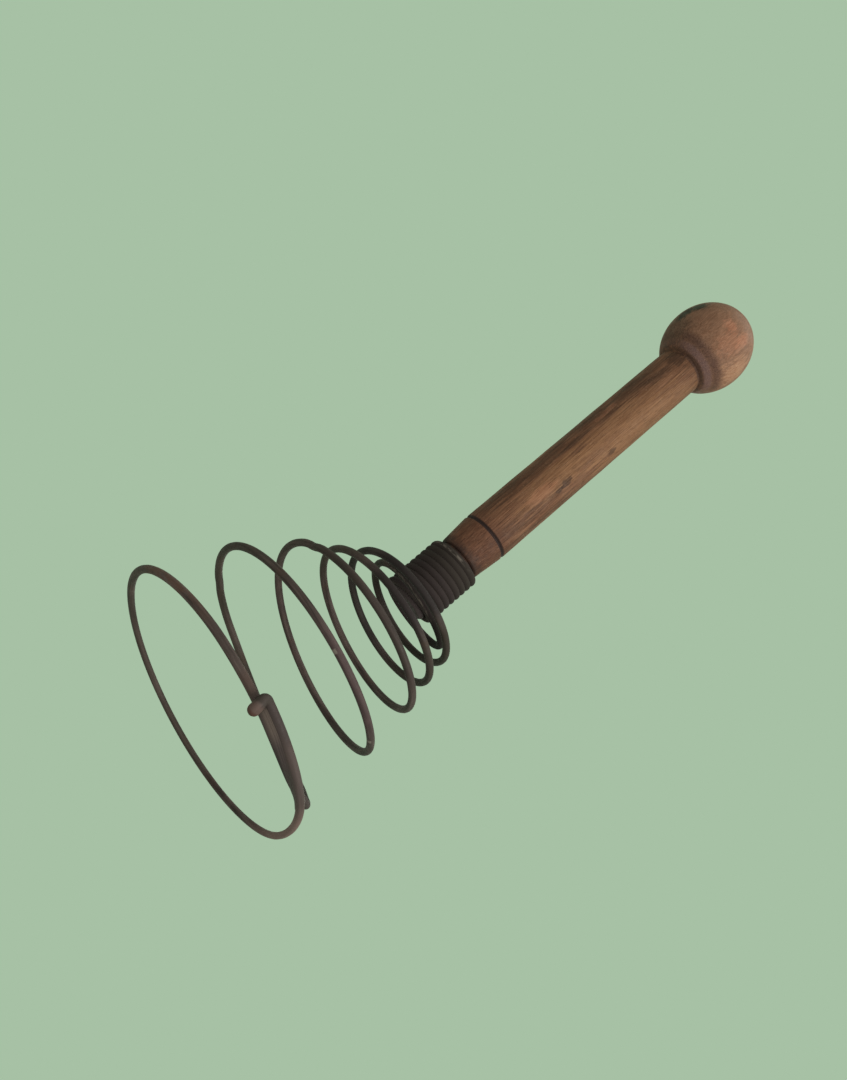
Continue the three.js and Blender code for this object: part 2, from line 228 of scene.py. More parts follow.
class NodeSheet:
    """A shader node tree, filled in from its inputs to its output."""

    def __init__(self, tree: bpy.types.NodeTree) -> None:
        """Takes the tree that is filled in."""
        self.tree = tree

    def feed(self, socket: bpy.types.NodeSocket, value: Feed) -> None:
        """Links a socket to another, or sets its plain value.

        Args:
            socket: The input that is fed.
            value: An output socket, a number, a vector or a colour.
        """
        if isinstance(value, bpy.types.NodeSocket):
            self.tree.links.new(value, socket)
        else:
            socket.default_value = value

    def node(
        self, kind: str, inputs: dict[int | str, Feed] | None = None, **settings: object
    ) -> bpy.types.Node:
        """Adds a node.

        Args:
            kind: Blender's name of the node's type.
            inputs: What each input gets, by its name or number.
            **settings: The node's own settings.

        Returns:
            The new node.
        """
        made = self.tree.nodes.new(kind)
        for name, value in settings.items():
            setattr(made, name, value)
        for name, value in (inputs or {}).items():
            self.feed(made.inputs[name], value)
        return made

    def math(self, operation: str, *values: Feed) -> bpy.types.NodeSocket:
        """Adds a Math node.

        Args:
            operation: The node's operation.
            *values: Its inputs in order.

        Returns:
            The node's result.
        """
        made = self.node("ShaderNodeMath", dict(enumerate(values)), operation=operation)
        return made.outputs[0]

    def product(self, *values: Feed) -> bpy.types.NodeSocket:
        """Multiplies two or more values.

        Args:
            *values: The values.

        Returns:
            Their product.
        """
        result = values[0]
        for value in values[1:]:
            result = self.math("MULTIPLY", result, value)
        return result

    def vector_math(self, operation: str, *values: Feed) -> bpy.types.NodeSocket:
        """Adds a Vector Math node with a vector for its result.

        Args:
            operation: The node's operation.
            *values: Its inputs in order.

        Returns:
            The node's vector.
        """
        made = self.node("ShaderNodeVectorMath", dict(enumerate(values)), operation=operation)
        return made.outputs[0]

    def stretched(self, vector: Feed, factors: Stretch) -> bpy.types.NodeSocket:
        """Multiplies a vector part by part."""
        return self.vector_math("MULTIPLY", vector, factors)

    def reach(self, vector: Feed) -> bpy.types.NodeSocket:
        """Gives a vector's length."""
        return self.node("ShaderNodeVectorMath", {0: vector}, operation="LENGTH").outputs["Value"]

    def object_place(self) -> bpy.types.NodeSocket:
        """Gives the place on the piece, in metres."""
        return self.node("ShaderNodeTexCoord").outputs["Object"]

    def stored(self, name: str, output: str = "Fac") -> bpy.types.NodeSocket:
        """Reads an attribute of the mesh."""
        return self.node("ShaderNodeAttribute", attribute_name=name).outputs[output]

    def paint(
        self, under: Feed, over: Feed, mask: Feed, strength: float = 1.0, blend: str = "MIX"
    ) -> bpy.types.NodeSocket:
        """Lays a colour over another.

        Args:
            under: The colour below.
            over: The colour on top.
            mask: Where the top colour lies.
            strength: How much it covers there.
            blend: How it goes over the colour below.

        Returns:
            The painted colour.
        """
        # Inputs 6 and 7 and output 2 are the node's colours.
        made = self.node(
            "ShaderNodeMix",
            {0: self.product(mask, strength), 6: under, 7: over},
            data_type="RGBA",
            blend_type=blend,
        )
        return made.outputs[2]

    def paint_zone(
        self, under: Feed, along: Feed, zone: Zone, mask: Feed = 1.0
    ) -> bpy.types.NodeSocket:
        """Lays a zone's colour on its stretch of a piece.

        Args:
            under: The colour below.
            along: The place along the piece.
            zone: The zone.
            mask: Where it shows within its stretch.

        Returns:
            The painted colour.
        """
        shown = self.product(self.window(along, zone.edges), mask)
        return self.paint(under, zone.colour, shown, zone.strength)

    def between(
        self, value: Feed, low: float, high: float, top: float = 1.0, bottom: float = 0.0
    ) -> bpy.types.NodeSocket:
        """Maps a value smoothly from low..high to bottom..top.

        Args:
            value: The value.
            low: Where the result is at the bottom.
            high: Where the result is at the top.
            top: The result at high.
            bottom: The result at low.

        Returns:
            The mapped value.
        """
        made = self.node(
            "ShaderNodeMapRange",
            {"Value": value, "From Min": low, "From Max": high, "To Min": bottom, "To Max": top},
            interpolation_type="SMOOTHSTEP",
        )
        return made.outputs["Result"]

    def window(self, value: Feed, edges: Edges) -> bpy.types.NodeSocket:
        """Gives a mask that rises and falls smoothly at its edges."""
        start, full, fading, gone = edges
        return self.product(self.between(value, start, full), self.between(value, gone, fading))

    def noise(
        self, vector: Feed, scale: Feed, detail: float, rough: float
    ) -> bpy.types.NodeSocket:
        """Adds a Noise Texture.

        Args:
            vector: Where the noise is read.
            scale: Its scale.
            detail: Its number of octaves.
            rough: How much the finer octaves count.

        Returns:
            The noise's value.
        """
        made = self.node(
            "ShaderNodeTexNoise",
            {"Vector": vector, "Scale": scale, "Detail": detail, "Roughness": rough},
        )
        return made.outputs["Fac"]

    def grain(self, vector: Feed, grain: Grain) -> bpy.types.NodeSocket:
        """Gives a grain's value."""
        return self.noise(self.stretched(vector, grain.stretch), 1.0, grain.detail, grain.rough)

    def grain_mask(self, vector: Feed, grain: Grain) -> bpy.types.NodeSocket:
        """Gives a mask that rises over a grain's range."""
        return self.between(self.grain(vector, grain), grain.start, grain.full)

    def tones(
        self, value: Feed, stops: Sequence[tuple[float, Colour]]
    ) -> bpy.types.NodeSocket:
        """Adds a Color Ramp.

        Args:
            value: The value that picks the colour.
            stops: The ramp's places and colours, rising.

        Returns:
            The picked colour.
        """
        made = self.node("ShaderNodeValToRGB", {"Fac": value})
        ramp = made.color_ramp
        ramp.interpolation = "EASE"
        while len(ramp.elements) < len(stops):
            ramp.elements.new(0.5)
        for element, (place, colour) in zip(ramp.elements, stops):
            element.position = place
            element.color = colour
        return made.outputs["Color"]

    def group(
        self, tree: bpy.types.NodeTree, inputs: dict[int | str, Feed]
    ) -> bpy.types.NodeSocket:
        """Places a node group and gives its first output."""
        return self.node("ShaderNodeGroup", inputs, node_tree=tree).outputs[0]


class Surface(NodeSheet):
    """A material's node tree, with a Principled BSDF at its output."""

    def __init__(self, name: str) -> None:
        """Starts the material.

        Args:
            name: The material's name.
        """
        self.material = bpy.data.materials.new(name)
        self.material.use_nodes = True
        self.material.node_tree.nodes.clear()
        super().__init__(self.material.node_tree)
        self.shader = self.node("ShaderNodeBsdfPrincipled")
        self.output = self.node(
            "ShaderNodeOutputMaterial", {"Surface": self.shader.outputs["BSDF"]}
        )

    def lay_on(
        self, piece: bpy.types.Object, colour: Feed, roughness: Feed, relief: Feed, sheen: Sheen
    ) -> None:
        """Feeds the shader and gives the material to a piece.

        Args:
            piece: The piece.
            colour: The surface's colour.
            roughness: Its roughness.
            relief: Its height, from 0 to 1.
            sheen: How it takes the light.
        """
        bump = self.node(
            "ShaderNodeBump",
            {
                "Height": relief,
                "Distance": sheen.relief_depth,
                "Strength": sheen.relief_strength,
            },
        )
        feeds = {
            "Base Color": colour,
            "Roughness": roughness,
            "Metallic": sheen.metallic,
            "Specular IOR Level": sheen.specular,
            "Normal": bump.outputs["Normal"],
        }
        for name, value in feeds.items():
            self.feed(self.shader.inputs[name], value)
        piece.data.materials.clear()
        piece.data.materials.append(self.material)


class EffectGroups:
    """The effects that the wood and the steel share, each built once as a node group."""

    # The octaves and roughness of the noise behind the patches and a mark's edge, and where a
    # mark starts and is full, 1 being its reach.
    patch_cloud: Point2 = (6.0, 0.6)
    mark_cloud: Point2 = (5.0, 0.65)
    mark_edge: Point2 = (1.0, 0.45)

    def __init__(self) -> None:
        """Builds the groups."""
        self.patches = self._patches()
        self.mark = self._mark()
        self.specks = self._specks()

    @staticmethod
    def _open(
        name: str, inputs: dict[str, str], output: str
    ) -> tuple[NodeSheet, bpy.types.Node, bpy.types.Node]:
        """Starts a group with its sockets.

        Args:
            name: The group's name.
            inputs: Socket type of each input by name.
            output: Name of the one output, a mask.

        Returns:
            The group's sheet, its input node and its output node.
        """
        tree = bpy.data.node_groups.new(name, "ShaderNodeTree")
        for label, kind in inputs.items():
            tree.interface.new_socket(name=label, in_out="INPUT", socket_type=kind)
        tree.interface.new_socket(name=output, in_out="OUTPUT", socket_type="NodeSocketFloat")
        sheet = NodeSheet(tree)
        return sheet, tree.nodes.new("NodeGroupInput"), tree.nodes.new("NodeGroupOutput")

    def _patches(self) -> bpy.types.NodeTree:
        """Builds irregular patches, such as dirt, wear or rust, with a scale and a range.

        Returns:
            The group, with a mask that is 1 in the patches.
        """
        kinds = {
            "Vector": "NodeSocketVector",
            "Scale": "NodeSocketFloat",
            "Start": "NodeSocketFloat",
            "Full": "NodeSocketFloat",
        }
        sheet, given, out = self._open("Patches", kinds, "Mask")
        cloud = sheet.noise(given.outputs["Vector"], given.outputs["Scale"], *self.patch_cloud)
        ranged = sheet.node(
            "ShaderNodeMapRange",
            {
                "Value": cloud,
                "From Min": given.outputs["Start"],
                "From Max": given.outputs["Full"],
            },
            interpolation_type="SMOOTHSTEP",
        )
        sheet.feed(out.inputs["Mask"], ranged.outputs["Result"])
        return sheet.tree

    def _mark(self) -> bpy.types.NodeTree:
        """Builds one local mark with a ragged edge.

        Returns:
            The group, with a mask that is 1 in the mark.
        """
        kinds = {
            "Vector": "NodeSocketVector",
            "Centre": "NodeSocketVector",
            "Reach": "NodeSocketVector",
            "Ragged": "NodeSocketFloat",
            "Grain": "NodeSocketVector",
        }
        sheet, given, out = self._open("Mark", kinds, "Mask")
        offset = sheet.vector_math("SUBTRACT", given.outputs["Vector"], given.outputs["Centre"])
        scaled = sheet.vector_math("DIVIDE", offset, given.outputs["Reach"])
        grained = sheet.vector_math("MULTIPLY", given.outputs["Vector"], given.outputs["Grain"])
        cloud = sheet.noise(grained, 1.0, *self.mark_cloud)
        swing = sheet.product(sheet.math("SUBTRACT", cloud, 0.5), given.outputs["Ragged"])
        edge = sheet.math("ADD", sheet.reach(scaled), swing)
        sheet.feed(out.inputs["Mask"], sheet.between(edge, *self.mark_edge))
        return sheet.tree

    def _specks(self) -> bpy.types.NodeTree:
        """Builds small scattered specks.

        Returns:
            The group, with a mask that is 1 in the specks.
        """
        kinds = {
            "Vector": "NodeSocketVector",
            "Scale": "NodeSocketFloat",
            "Size": "NodeSocketFloat",
            "Share": "NodeSocketFloat",
        }
        sheet, given, out = self._open("Specks", kinds, "Mask")
        cells = sheet.node(
            "ShaderNodeTexVoronoi",
            {"Vector": given.outputs["Vector"], "Scale": given.outputs["Scale"]},
        )
        near = sheet.math("LESS_THAN", cells.outputs["Distance"], given.outputs["Size"])
        red = sheet.node("ShaderNodeSeparateColor", {"Color": cells.outputs["Color"]})
        chosen = sheet.math("LESS_THAN", red.outputs[0], given.outputs["Share"])
        sheet.feed(out.inputs["Mask"], sheet.product(near, chosen))
        return sheet.tree

    def spread(self, sheet: NodeSheet, vector: Feed, kind: Patches) -> bpy.types.NodeSocket:
        """Spreads patches over a piece.

        Args:
            sheet: The material's sheet.
            vector: The place on the piece, in millimetres.
            kind: The patches.

        Returns:
            Their mask, at their strength.
        """
        inputs = {
            "Vector": sheet.stretched(vector, kind.stretch),
            "Scale": kind.scale,
            "Start": kind.start,
            "Full": kind.full,
        }
        return sheet.product(sheet.group(self.patches, inputs), kind.strength)


@dataclass(frozen=True)
class Mark:
    """A stain, worn spot, soot or painted highlight on the handle.

    Length runs along the handle from the winding's first turn, and the angle round it, 0 towards
    the side that faces down and out.
    """

    kind: MarkKind
    length: float
    angle: float
    along: float
    across: float
    radius: float = 9.5
    strength: float = 1.0

    def centre(self) -> tuple[float, float, float]:
        """Gives the mark's middle in the handle's own frame, in millimetres."""
        turn = math.radians(self.angle)
        return (self.radius * math.cos(turn), self.radius * math.sin(turn), self.length)


@dataclass(frozen=True)
class WoodFinish:
    """Old turned hardwood: stained, worn bare in places, with painted shade round the wire and
    painted highlights.
    """

    dark: Colour = srgb(93, 67, 49)
    middle: Colour = srgb(122, 87, 63)
    light: Colour = srgb(145, 106, 77)
    pore: Colour = srgb(52, 36, 28)
    grime: Colour = srgb(62, 46, 37)
    neck: Colour = srgb(98, 64, 48)
    ball: Colour = srgb(151, 117, 92)
    # Painted shade on the wood next to the winding.
    cut: Colour = srgb(44, 34, 31)
    # Painted shade in the V-groove.
    groove_shade: Colour = srgb(56, 43, 40)
    tenon_end: Colour = srgb(72, 62, 61)
    nick: Colour = srgb(172, 140, 112)
    scratch: Colour = srgb(150, 118, 90)
    tone_places: tuple[float, ...] = (0.3, 0.5, 0.72)
    fibres: Grain = Grain((1.3, 1.3, 0.05), 6.0, 0.62)
    # The plank's growth rings: their middle beside the handle's axis, their pitch, how far they
    # move outwards along the handle, and how far they sway.
    pith: Point2 = (-31.0, 24.0)
    ring_pitch: float = 1.9
    ring_slope: float = 0.02
    ring_sway: Grain = Grain((0.08, 0.08, 0.02), 3.0, 0.5)
    ring_sway_by: float = 6.0
    ring_strength: float = 0.28
    dirt: Patches = Patches(0.16, 0.48, 0.68, (1.0, 1.0, 0.16), 0.42)
    end_strength: float = 0.6
    streaks: Grain = Grain((3.2, 3.2, 0.09), 4.0, 0.6, 0.64, 0.36)
    pores: Grain = Grain((5.5, 5.5, 0.32), 2.0, 0.5, 0.4, 0.3)
    nicks: Grain = Grain((4.5, 4.5, 0.8), 3.0, 0.6, 0.66, 0.72)
    grain_strength: float = 0.5
    scratches: tuple[Grain, ...] = (
        Grain((0.9, 5.0, 0.9), 2.0, 0.6, 0.62, 0.74),
        Grain((5.0, 0.9, 0.9), 2.0, 0.6, 0.62, 0.74),
    )
    scratch_strength: float = 0.3
    # Painted shade on the wood next to the winding: its ragged edge, and the lengths, edge added,
    # between which it darkens.
    shade_edge: Grain = Grain((0.3, 0.3, 0.3), 3.0, 0.6)
    shade_edge_by: float = 8.0
    shade_by_winding: Point2 = (32.0, 26.0)
    shade_by_winding_strength: float = 0.85
    rubbing: Grain = Grain((0.35, 0.35, 0.35), 4.0, 0.6, 0.3, 0.7)
    turning: Grain = Grain((0.02, 0.02, 2.6), 2.0, 0.5)
    turning_relief: float = 0.35
    pore_relief: float = 0.6
    sheen: Sheen = Sheen((0.52, 0.72), 0.15, 0.00016, 0.6)
    # At the ball's foot, in millimetres from the shaft's end: a painted highlight just above the
    # cove, a purple-brown band and painted shade in the cove. They are full on the lit side of the
    # handle, by its place across, and faint on the shaded side.
    foot_bands_and_light: tuple[Zone, ...] = (
        # Painted highlight just above the cove.
        Zone(srgb(120, 98, 95), (0.6, 1.6, 2.6, 4.2), 0.62),
        Zone(srgb(80, 57, 51), (3.0, 4.4, 5.0, 7.6), 0.62),
        # Painted shade in the cove.
        Zone(srgb(70, 54, 49), (-1.0, -0.2, 0.6, 1.6), 0.68),
    )
    foot_lit_side: float = 1.7
    foot_lit_range: Point2 = (6.0, 19.0)
    foot_shaded_side: float = 0.25
    ragged: float = 1.8
    small_mark: float = 9.0
    small_mark_grain: Stretch = (1.1, 1.1, 0.5)
    long_mark_grain: Stretch = (0.8, 0.8, 0.07)
    mark_colours: tuple[tuple[MarkKind, Colour], ...] = (
        (MarkKind.STAIN, srgb(62, 44, 35)),
        (MarkKind.BARE, srgb(140, 104, 72)),
        (MarkKind.WORN, srgb(176, 125, 95)),
        # Painted highlight.
        (MarkKind.PALE, srgb(180, 142, 110)),
        (MarkKind.SOOT, srgb(60, 58, 46)),
    )
    marks: tuple[Mark, ...] = (
        Mark(MarkKind.BARE, 68.0, 42.0, 24.0, 6.6, strength=0.7),
        Mark(MarkKind.BARE, 100.0, 50.0, 36.0, 8.8, strength=0.66),
        Mark(MarkKind.BARE, 114.0, 84.0, 36.0, 9.0, strength=0.6),
        Mark(MarkKind.BARE, 84.0, 205.0, 40.0, 7.0, strength=0.5),
        Mark(MarkKind.WORN, 60.0, 44.0, 9.0, 3.2, strength=0.3),
        Mark(MarkKind.WORN, 98.0, -2.0, 4.0, 1.2, strength=0.25),
        Mark(MarkKind.WORN, 105.0, -5.0, 4.0, 1.4, strength=0.28),
        Mark(MarkKind.STAIN, 49.0, -16.0, 13.0, 3.2, strength=0.45),
        Mark(MarkKind.STAIN, 70.0, -14.0, 17.0, 3.8, strength=0.4),
        Mark(MarkKind.STAIN, 84.0, 4.0, 12.0, 1.4, strength=0.5),
        Mark(MarkKind.STAIN, 93.0, -22.0, 17.0, 3.8, strength=0.4),
        Mark(MarkKind.STAIN, 118.0, -12.0, 17.0, 3.8, strength=0.42),
        Mark(MarkKind.STAIN, 128.0, 12.0, 10.0, 2.0, strength=0.5),
        Mark(MarkKind.STAIN, 139.0, 4.0, 5.0, 5.0, strength=0.6),
        Mark(MarkKind.STAIN, 70.5, 62.0, 3.6, 1.7, strength=0.7),
        Mark(MarkKind.STAIN, 66.0, 66.0, 2.6, 1.2, strength=0.6),
        Mark(MarkKind.STAIN, 93.0, 79.0, 3.2, 1.5, strength=0.6),
        Mark(MarkKind.STAIN, 104.0, 240.0, 26.0, 4.5, strength=0.6),
        Mark(MarkKind.STAIN, 147.0, -30.0, 10.0, 10.0, radius=14.0, strength=0.2),
        Mark(MarkKind.SOOT, 148.0, -36.0, 10.0, 10.0, radius=15.0, strength=0.4),
        Mark(MarkKind.SOOT, 156.5, -32.0, 5.4, 4.4, radius=17.2, strength=0.95),
        Mark(MarkKind.SOOT, 161.0, -20.0, 4.6, 4.0, radius=16.6, strength=0.95),
        Mark(MarkKind.WORN, 160.5, 34.0, 3.4, 3.6, radius=16.6, strength=0.6),
        Mark(MarkKind.WORN, 161.0, 60.0, 5.0, 3.0, radius=16.6, strength=0.6),
        Mark(MarkKind.WORN, 155.0, 50.0, 7.0, 6.0, radius=17.0, strength=0.35),
        # A painted highlight on the ball's lit side.
        Mark(MarkKind.PALE, 154.5, 94.0, 9.0, 7.5, radius=17.2, strength=0.6),
    )

    def colour_of(self, kind: MarkKind) -> Colour:
        """Gives the colour of a kind of mark."""
        return dict(self.mark_colours)[kind]


@dataclass(frozen=True)
class SteelFinish:
    """Old drawn steel wire, dull and dark, with rust, worn places, pale specks and painted light
    and shade.
    """

    dark: Colour = srgb(53, 45, 41)
    middle: Colour = srgb(71, 61, 56)
    light: Colour = srgb(89, 77, 71)
    worn: Colour = srgb(112, 94, 87)
    rust: Colour = srgb(86, 63, 48)
    # Painted light on the flanks of the wound turns, easing the shade between them.
    valley_fill_light: Colour = srgb(62, 54, 50)
    # Pale dust, also the painted highlight on two lines and the colour of the nicks.
    pale_dust_and_highlight: Colour = srgb(126, 118, 106)
    speck: Colour = srgb(178, 168, 158)
    tone_places: tuple[float, ...] = (0.32, 0.5, 0.7)
    drawing: Grain = Grain((0.9, 0.9, 0.07), 3.0, 0.5)
    wear: Patches = Patches(0.045, 0.5, 0.7, strength=0.4)
    rusting: Patches = Patches(0.11, 0.52, 0.72, strength=0.4)
    streaks: Patches = Patches(1.0, 0.4, 0.58, (0.5, 0.5, 0.12))
    speck_scale: float = 0.16
    speck_size: float = 0.1
    speck_share: float = 0.12
    speck_strength: float = 0.6
    # Where the wound turns take painted light on their flanks, which eases the shade between them,
    # and get duller, by turn number, and how far out on the wire that painted light is full and
    # ends.
    wound_fill_light: Point2 = (6.56, 7.0)
    wound_dull: Point2 = (6.06, 6.26)
    valley_range: Point2 = (0.75, 0.3)
    flecks: Grain = Grain((1.2, 1.2, 0.3), 4.0, 0.7, 0.42, 0.58)
    # Two lines of pale dust with a painted highlight, each by turn number and by its place on the
    # wire
    # in millimetres: aside on the last free turn, and outwards on the top of the winding.
    pale_dust_and_highlight_aside: tuple[Edges, Edges] = ((6.06, 6.1, 6.26, 6.32), (0.6, 0.85, 1.05, 1.25))
    pale_dust_and_highlight_on_top: tuple[Edges, Edges] = ((14.95, 15.05, 15.22, 15.34), (1.18, 1.34, 1.45, 1.6))
    pale_dust_and_highlight_strength: float = 0.6
    # Small pale nicks, by turn number, and their reach along and aside.
    nicks: tuple[float, ...] = (2.262, 2.411)
    nick_reach: Edges = (-0.0045, -0.0015, 0.0015, 0.0045)
    nick_aside: Edges = (0.3, 0.8, 1.3, 1.5)
    nick_strength: float = 0.8
    pits: Grain = Grain((0.9, 0.9, 0.9), 4.0, 0.6, 0.3, 0.7)
    drawing_relief: float = 0.7
    # Where the wire climbs from the ring it faces the camera end on, and is smooth and dull.
    smooth_stretch: Edges = (1.33, 1.38, 1.5, 1.6)
    dull_roughness: float = 0.88
    sheen: Sheen = Sheen((0.54, 0.72), 0.15, 0.00008, 0.35, 0.08)
    zones: tuple[Zone, ...] = (
        # The solder in the lap.
        Zone(srgb(78, 68, 66), (-0.8, -0.79, -0.61, -0.6), 0.8),
        # A painted highlight along the middle of the solder.
        Zone(srgb(102, 91, 80), (-0.74, -0.735, -0.715, -0.69), 0.6),
        # The clasp and the lap.
        Zone(srgb(66, 57, 54), (0.25, 0.26, 0.3, 0.33), 0.85),
        Zone(srgb(62, 55, 50), (0.24, 0.243, 0.262, 0.272), 0.85),
        Zone(srgb(98, 80, 72), (0.0, 0.01, 0.2375, 0.2425), 0.7),
        Zone(srgb(80, 50, 40), (0.0, 0.01, 0.232, 0.2345), 0.7),
        Zone(srgb(82, 71, 67), (0.3, 0.33, 0.37, 0.42), 0.7),
        # Painted light on the ring's lower end: a pale pink patch where it faces the light.
        Zone(srgb(128, 104, 96), (0.385, 0.43, 0.5, 0.6), 0.65),
        # The ring and the lap's upper stretch.
        Zone(srgb(98, 64, 44), (1.0, 1.06, 1.12, 1.19), 0.4, patchy=True),
        Zone(srgb(66, 60, 49), (0.6, 0.75, 1.0, 1.1), 0.35),
        Zone(srgb(98, 66, 48), (1.225, 1.24, 1.25, 1.262), 0.15),
        Zone(srgb(76, 66, 61), (1.24, 1.27, 1.3, 1.33), 0.9),
        # Painted shade on this stretch of the lap's lower wire.
        Zone(srgb(58, 48, 48), (1.3, 1.33, 1.36, 1.4), 0.9),
        Zone(srgb(66, 56, 53), (1.36, 1.4, 1.47, 1.5), 0.9),
        Zone(srgb(52, 45, 40), (1.47, 1.5, 1.54, 1.58), 0.9),
        # The free turns.
        Zone(srgb(56, 51, 41), (1.58, 1.75, 2.0, 2.2), 0.5),
        Zone(srgb(78, 62, 62), (2.2, 2.27, 2.36, 2.42), 0.55),
        Zone(srgb(60, 52, 47), (3.06, 3.14, 3.3, 3.42), 0.75),
        Zone(srgb(58, 50, 42), (2.86, 2.94, 3.02, 3.12), 0.4),
        Zone(srgb(50, 45, 38), (4.28, 4.36, 4.56, 4.7), 0.7),
        # Painted shade on turn 4 where it passes over the tenon's end.
        Zone(srgb(45, 38, 37), (4.12, 4.18, 4.27, 4.33), 0.95),
        Zone(srgb(62, 55, 47), (3.86, 3.94, 4.06, 4.14), 0.6),
        # Painted shade on a stretch of turn 5 near the winding's foot.
        Zone(srgb(43, 37, 36), (5.06, 5.13, 5.27, 5.33), 0.95),
        Zone(srgb(46, 43, 40), (4.62, 4.74, 5.04, 5.12), 0.75),
        Zone(srgb(48, 43, 36), (5.28, 5.35, 5.6, 5.66), 0.8),
        # The last free turn and the winding. Edges of 98 and 99 lie past the wire's end.
        # The winding's dark steel with painted shade over it, from the last free turn to the wire's
        # end.
        Zone(srgb(50, 43, 41), (6.04, 6.13, 98.0, 99.0), 0.95),
        Zone(srgb(48, 43, 37), (5.54, 5.62, 6.02, 6.08), 0.7),
        # Painted shade on the front of the last free turn.
        Zone(srgb(39, 35, 31), (6.27, 6.32, 6.5, 6.6), 0.8),
        # Painted light that lifts the shaded turns where the winding starts.
        Zone(srgb(60, 52, 51), (6.52, 6.62, 7.4, 7.7), 0.7),
        Zone(srgb(50, 46, 37), (11.0, 13.5, 98.0, 99.0), 0.5),
    )


@dataclass(frozen=True)
class StudioFinish:
    """The pale backdrop and floor, and the strength of the soft light round the object."""

    backdrop: Colour = srgb(167, 193, 165)
    ambient: Colour = srgb(255, 251, 246)
    ambient_strength: float = 0.41


@dataclass
class Station:
    """One section of the wire, in millimetres."""

    point: Vector
    radius: float
    turn: float
    outward: Vector


